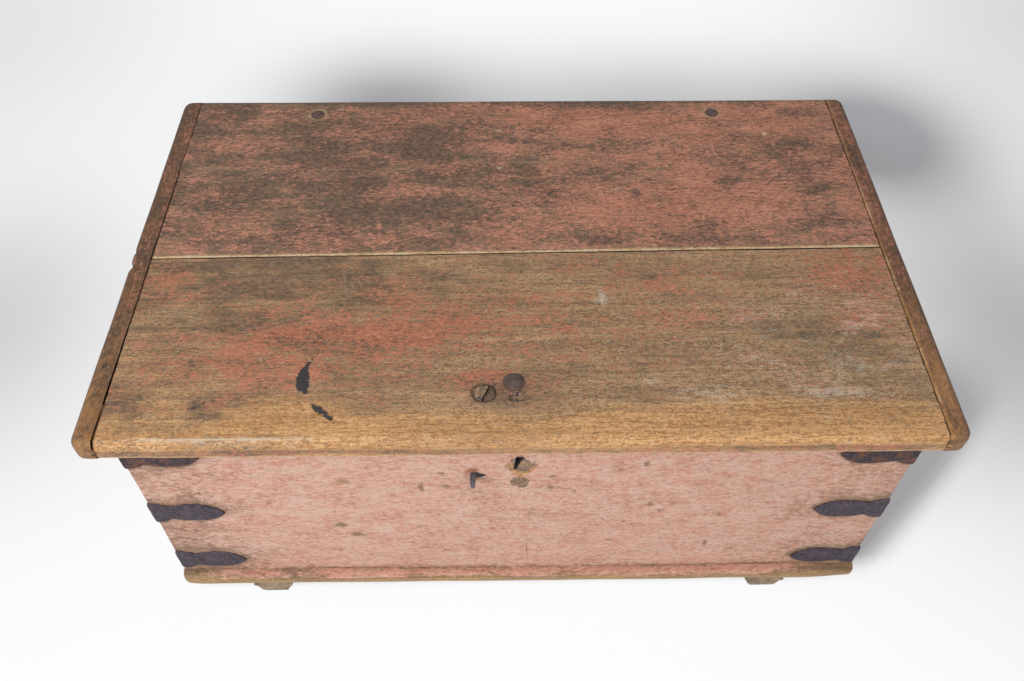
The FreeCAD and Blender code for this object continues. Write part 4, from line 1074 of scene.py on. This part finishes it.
for side, sign, seed, seam_round, red_share, soil_share, outer_share, gold_share in (
    ("left", -1, 81, 0.0008, 0.34, 0.58, 0.36, 0.55), ("right", 1, 87, 0.0015, 0.54, 0.50, 0.26, 0.38),
):
    low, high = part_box(f"lid_{side}_cleat")
    width = high.x - low.x
    seam_x = min(abs(low.x), abs(high.x))
    face = crowd(0.0, width, 0.002)
    back = crowd(0.0, width, 0.006)
    joints = ((-tongue_length, tongue_low, tongue_high), None)
    rounds = (0.001, lid_bottom_round, lid_top_round, seam_round)
    section = board_section(face, back, (lid_under, lid_top), rounds, joints, lid_arris)

    def lay_cleat(along, across, up):
        """Board along y whose outer corners are round in plan and whose ends fall over the lid's rounded
        rim."""
        gap = np.minimum(along - low.y, high.y - along)
        reach = width - round_fall(gap, cleat_corner)
        top = lid_top - round_fall(gap, lid_top_round)
        under = lid_under + round_fall(gap, lid_bottom_round)
        share = (up - lid_under) / (lid_top - lid_under)
        drawn = (0.0017 * ease(-along, -0.02, 0.36) - 0.0007) if sign < 0 else -0.0004
        out = seam_x + drawn + across / width * (reach - drawn)
        return sign * out, along, under + share * (top - under)

    ends = [(low.y, 0.022, 0.0012), (high.y, 0.022, 0.0012), (-0.041, 0.014, 0.0015)]
    lines = crowd(low.y, high.y, 0.004, ends)
    rings = carry(section, (lines, np.zeros(len(lines))), lay_cleat)
    depth = hand_worn(rings, section[2], (0.013, 0.08, 0.013), seed)
    x, y, z = np.moveaxis(rings, -1, 0)
    inner = np.abs(np.abs(x) - seam_x)
    in_groove = inner < cleat_groove
    tar = (in_groove & (z < lid_top - 0.0015) & (z > lid_under + 0.003) & (y > low.y + 0.006)) * 1.0
    if sign < 0:
        chips = [(-0.041, 0.486, 0.007, 0.012, 0.005), (-0.010, 0.488, 0.004, 0.008, 0.003)]
        depth = depth + blots(y, z, chips) * (inner > cleat_outer_strip)
        spot = stroke(x, y, [(-0.583, -0.237, 0.003), (-0.584, -0.241, 0.003)])
        tar = np.maximum(tar, spot * (z > 0.49))
    depth = depth * np.where(in_groove & (z < lid_top - 0.004), 0.3, 1.0)
    forward = ease(-y, -0.05, 0.36)
    front_end = ease(-y, 0.345, 0.370)
    outer = ease(inner, 0.020, 0.033)
    near_seam = ease(-inner, -0.016, -0.004) * ease(y, -0.1, 0.1)
    rough = 0.15 * drift(rings, (0.04, 0.09, 0.04), seed + 5)
    rubbed = blots(inner, y, [(0.014, -0.15, 0.008, 0.05, 0.3), (0.017, -0.27, 0.009, 0.07, 0.5)])
    rubbed = rubbed * (sign > 0)
    seam_arris = bell(inner - 0.0022, 0.0022) * (z > lid_top - 0.006) * (sign > 0)
    paint = red_share - 0.30 * forward - 0.9 * seam_arris + 0.25 * near_seam + rough
    grime = soil_share - 0.12 * forward + outer_share * outer + 0.06 * sign * front_end
    grime = grime - 0.7 * seam_arris - 0.6 * rubbed - rough
    gold = 0.12 + gold_share * forward + 0.20 * front_end + 0.7 * seam_arris + rubbed
    wear = shares_of(paint, grime, gold, 0.04 + 0.30 * seam_arris)
    marks = shares_of(tar, 0.0, 0.0, 0.3)
    rings = set_back(rings, depth)
    rings[..., 1] = np.clip(rings[..., 1], low.y, high.y)
    piece = skin(f"lid_{side}_cleat_worn", rings, cleat_paint, wear=wear, marks=marks)
    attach(piece, "lid")
    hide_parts(f"lid_{side}_cleat")


# Plug and wedge: a round plug split across its grain and a small wedge between the staple's legs, both of
# paler wood, driven into the lid and worn ragged. The plug's split is painted black inside as painted shade.
plug_radius = (plug_high.x - plug_low.x) / 2
plug_split_width = 0.0023
plug_split_depth = 0.010
plug_split_turn = np.radians(23)
plug_split_offset = 0.004
plug_side_rings = 7
plug_top_rings = 25
plug_around = 120
plug_worn_ring = 0.0125
wedge_pitch = 0.0008
wedge_rounds = (0.0005, 0.0005, 0.0008, 0.0008)
patch_wood = painted_wood(
    "patch_wood", 1, (0, 0, 1), paints=((128, 88, 73), (164, 114, 95)),
    woods=((104, 84, 66), (166, 140, 112), (150, 114, 78), (212, 178, 138)),
    soils=cleat_soils, scuff=(222, 204, 176),
)
side_z = np.linspace(plug_low.z, plug_high.z, plug_side_rings)
top_r = np.linspace(plug_radius, 0.0004, plug_top_rings + 1)[1:]
profile_r = np.concatenate([np.full(plug_side_rings, plug_radius), top_r])[:, None]
profile_z = np.concatenate([side_z, np.full(plug_top_rings, plug_high.z)])[:, None]
turned = np.linspace(0, 2 * np.pi, plug_around, endpoint=False)
out_x = profile_r * np.cos(turned)
out_y = profile_r * np.sin(turned)
rings = np.stack(np.broadcast_arrays(plug_middle.x + out_x, plug_middle.y + out_y, profile_z), -1)
across = out_x * np.cos(plug_split_turn) - out_y * np.sin(plug_split_turn)
gape = plug_split_width * (0.75 + 16 * out_y) + 0.0006 * drift(rings, 0.006, 93)
within = gape - np.abs(across - plug_split_offset)
beyond = across > plug_split_offset
top = ease(profile_z, plug_high.z - 0.002, plug_high.z)
rim = ease(profile_r, plug_radius - 0.005, plug_radius)
worn = 0.0006 + 0.0010 * (1 + drift(rings, 0.007, 91)) + 0.0022 * rim + 0.0008 * beyond
rings[..., 2] -= top * (worn + plug_split_depth * ease(within, -0.0005, 0.0005))
crescent = bell(profile_r - plug_worn_ring, 0.002) * (0.5 + 0.5 * np.cos(2 * turned - 2.6))
wear = shares_of(0.0, 0.48 + 0.4 * rim + 0.25 * beyond, 0.45 - 0.3 * beyond, 0.12)
# The split is painted black inside: painted shade, in the tar share.
marks = shares_of(1.4 * ease(within, -0.0014, -0.0004) + 0.75 * crescent, 0.0, 0.0, 0.3)
piece = skin("lid_plug_split", rings, patch_wood, wear=wear, marks=marks)
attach(piece, "lid")
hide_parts("lid_plug")

face = crowd(wedge_low.y, wedge_high.y, wedge_pitch)
section = board_section(face, face, (wedge_low.z, wedge_high.z), wedge_rounds, reach=0.002)
lines = rounded_ends(crowd(wedge_low.x, wedge_high.x, wedge_pitch), 0.0008)
rings = carry(section, lines, lambda along, across, up: (along, across, up))
depth = 0.0006 + 0.0007 * (1 + drift(rings, (0.003, 0.012, 0.006), 95))
x, y, z = np.moveaxis(rings, -1, 0)
stripe = strokes(x, y, [
    (0.55, (wedge_low.x + 0.004, wedge_low.y, 0.001), (wedge_low.x + 0.005, wedge_high.y, 0.001)),
    (0.55, (wedge_middle.x - 0.001, wedge_low.y + 0.002, 0.0012),
     (wedge_middle.x - 0.0005, wedge_high.y, 0.0012)),
])
wear = shares_of(0.0, 0.55 - 0.45 * ease(x, wedge_middle.x, wedge_middle.x + 0.003), 0.35, 0.15)
marks = shares_of(stripe, 0.0, 0.0, 0.3)
piece = skin("staple_wedge_worn", set_back(rings, depth), patch_wood, wear=wear, marks=marks)
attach(piece, "lid")
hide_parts("staple_wedge")


# Studio: a white floor that glows to the eye, dimmed by a painted shadow of soft ovals and a band round the
# chest, two soft lamps in front and to the left, a broad one above, and an even pale surround.
floor_reach = 6.0
floor_glow = 0.94
floor_dark = (0.73, 0.74, 0.77, 1.0)
floor_light = (0.75, 0.76, 0.79, 1.0)
white = (1.0, 1.0, 1.0, 1.0)
surround_light = 0.26
lamp_aim = (0.0, 0.0, 0.3)
# Painted shadow on the floor, fixed whatever the lamps do: soft ovals, each its middle, two reaches and
# strength, that dim the floor's glow.
painted_floor_shadows = [
    (-0.35, 1.00, 0.28, 0.26, 0.82), (0.35, 0.98, 0.65, 0.28, 0.70), (0.95, 0.88, 0.22, 0.24, 0.75),
    (1.10, 0.20, 0.40, 0.52, 0.82), (-1.15, 0.20, 0.35, 0.40, 0.85),
    (-1.60, 1.30, 0.70, 0.80, 0.35), (1.60, 1.40, 0.60, 0.70, 0.42),
]
lines = crowd(-floor_reach, floor_reach, 0.3, [(0.2, 1.6, 0.025)])
across, along = np.meshgrid(lines, lines, indexing="ij")
under_chest = np.maximum(np.abs(across) - 0.56, np.abs(along) - 0.35)
# Painted shadow in a band beside the chest's right end.
painted_side_shadow = ease(along - across, -0.985, -0.885) * ease(across, 0.45, 0.55) * ease(-across, -1.05, -0.75)
painted_side_shadow = painted_side_shadow * ease(-along, -0.25, 0.0) * ease(along, -0.335, -0.285)
# Share of the floor's glow left outside the painted shadow, and none under the chest.
glow_outside_painted_shadows = np.clip(1 - blots(across, along, painted_floor_shadows) - 0.95 * painted_side_shadow, 0, 1)
glow_outside_painted_shadows = glow_outside_painted_shadows * ease(under_chest, -0.04, -0.005)
floor_points = np.stack([across, along, np.zeros_like(across)], -1).reshape(-1, 3)
index = np.arange(len(lines) ** 2).reshape(len(lines), -1)
floor_faces = np.stack([index[:-1, :-1], index[1:, :-1], index[1:, 1:], index[:-1, 1:]], -1).reshape(-1, 4)
floor_mesh = bpy.data.meshes.new("floor")
floor_mesh.from_pydata(floor_points.tolist(), [], floor_faces.tolist())
floor_mesh.attributes.new("glow", "FLOAT", "POINT")
floor_mesh.attributes["glow"].data.foreach_set("value", glow_outside_painted_shadows.astype(np.float32).ravel())
floor = bpy.data.objects.new("floor", floor_mesh)
bpy.context.scene.collection.objects.link(floor)
floor_white, place = new_finish("floor_white")


def sees_background(field):
    """1 for rays from the camera, mirrors and glass, 0 for light that falls on the object."""
    camera_ray = field.node("ShaderNodeLightPath", {}, {}, "Is Camera Ray")
    other = camera_ray.beside("Is Glossy Ray") + camera_ray.beside("Is Transmission Ray")
    return camera_ray.math("MINIMUM", camera_ray + other, 1.0)


mottle = place.streaks((0.8, 0.8, 0.8), 2.0, 0.5)
dull = place.node("ShaderNodeMix", {"data_type": "RGBA"}, {0: mottle, 6: floor_dark, 7: floor_light}, 2)
paper = place.node("ShaderNodeBsdfDiffuse", {}, {"Color": dull})
glow = place.node("ShaderNodeEmission", {}, {"Color": white, "Strength": 1.0})
glow_share = place.node("ShaderNodeAttribute", {"attribute_name": "glow"}, {}, "Fac")
share = sees_background(place) * glow_share * floor_glow
paper = place.node("ShaderNodeMixShader", {}, {0: share, 1: paper, 2: glow})
place.node("ShaderNodeOutputMaterial", {}, {"Surface": paper})
floor_mesh.materials.append(floor_white)
for name, at, size, power in (
    ("front_lamp", (-0.3, -2.9, 2.1), 0.9, 42), ("left_lamp", (-2.1, -1.8, 2.4), 0.9, 46),
    ("top_lamp", (0.0, -0.4, 3.0), 2.0, 14),
):
    light = bpy.data.lights.new(name, "AREA")
    light.size = size
    light.energy = power
    lamp = bpy.data.objects.new(name, light)
    lamp.location = at
    lamp.rotation_euler = (Vector(lamp_aim) - Vector(at)).to_track_quat("-Z", "Y").to_euler()
    bpy.context.scene.collection.objects.link(lamp)
surround = bpy.data.worlds.new("surround")
bpy.context.scene.world = surround
surround.use_nodes = True
surround.node_tree.nodes.clear()
sky = Field(surround.node_tree)
strength = sees_background(sky) * (1 - surround_light) + surround_light
backdrop = sky.node("ShaderNodeBackground", {}, {"Color": white, "Strength": strength})
sky.node("ShaderNodeOutputWorld", {}, {"Surface": backdrop})


# Camera: stands in front of the chest and looks down on it, turned a little to the side, as fitted to the
# lid's edges and seams, the body's edges, the irons and the runners.
camera_at = Vector((-0.02842, -1.04784, 1.52376))
camera_pitch = np.radians(50.469)
camera_yaw = np.radians(-1.056)
camera_roll = np.radians(-0.355)
focal_pixels = 931.24
picture_width = 1024
camera_data = bpy.data.cameras.new("camera")
camera_data.sensor_width = 36.0
camera_data.lens = focal_pixels * camera_data.sensor_width / picture_width
camera = bpy.data.objects.new("camera", camera_data)
bpy.context.scene.collection.objects.link(camera)
turn = Matrix.Rotation(camera_yaw, 3, "Z")
forward = turn @ Vector((0, np.cos(camera_pitch), -np.sin(camera_pitch)))
right = turn @ Vector((1, 0, 0))
down = forward.cross(right)
right, down = (
    right * np.cos(camera_roll) + down * np.sin(camera_roll),
    down * np.cos(camera_roll) - right * np.sin(camera_roll),
)
pose = Matrix((right, -down, -forward)).transposed().to_4x4()
pose.translation = camera_at
camera.matrix_world = pose
bpy.context.scene.camera = camera
bpy.context.scene.view_settings.view_transform = "Standard"
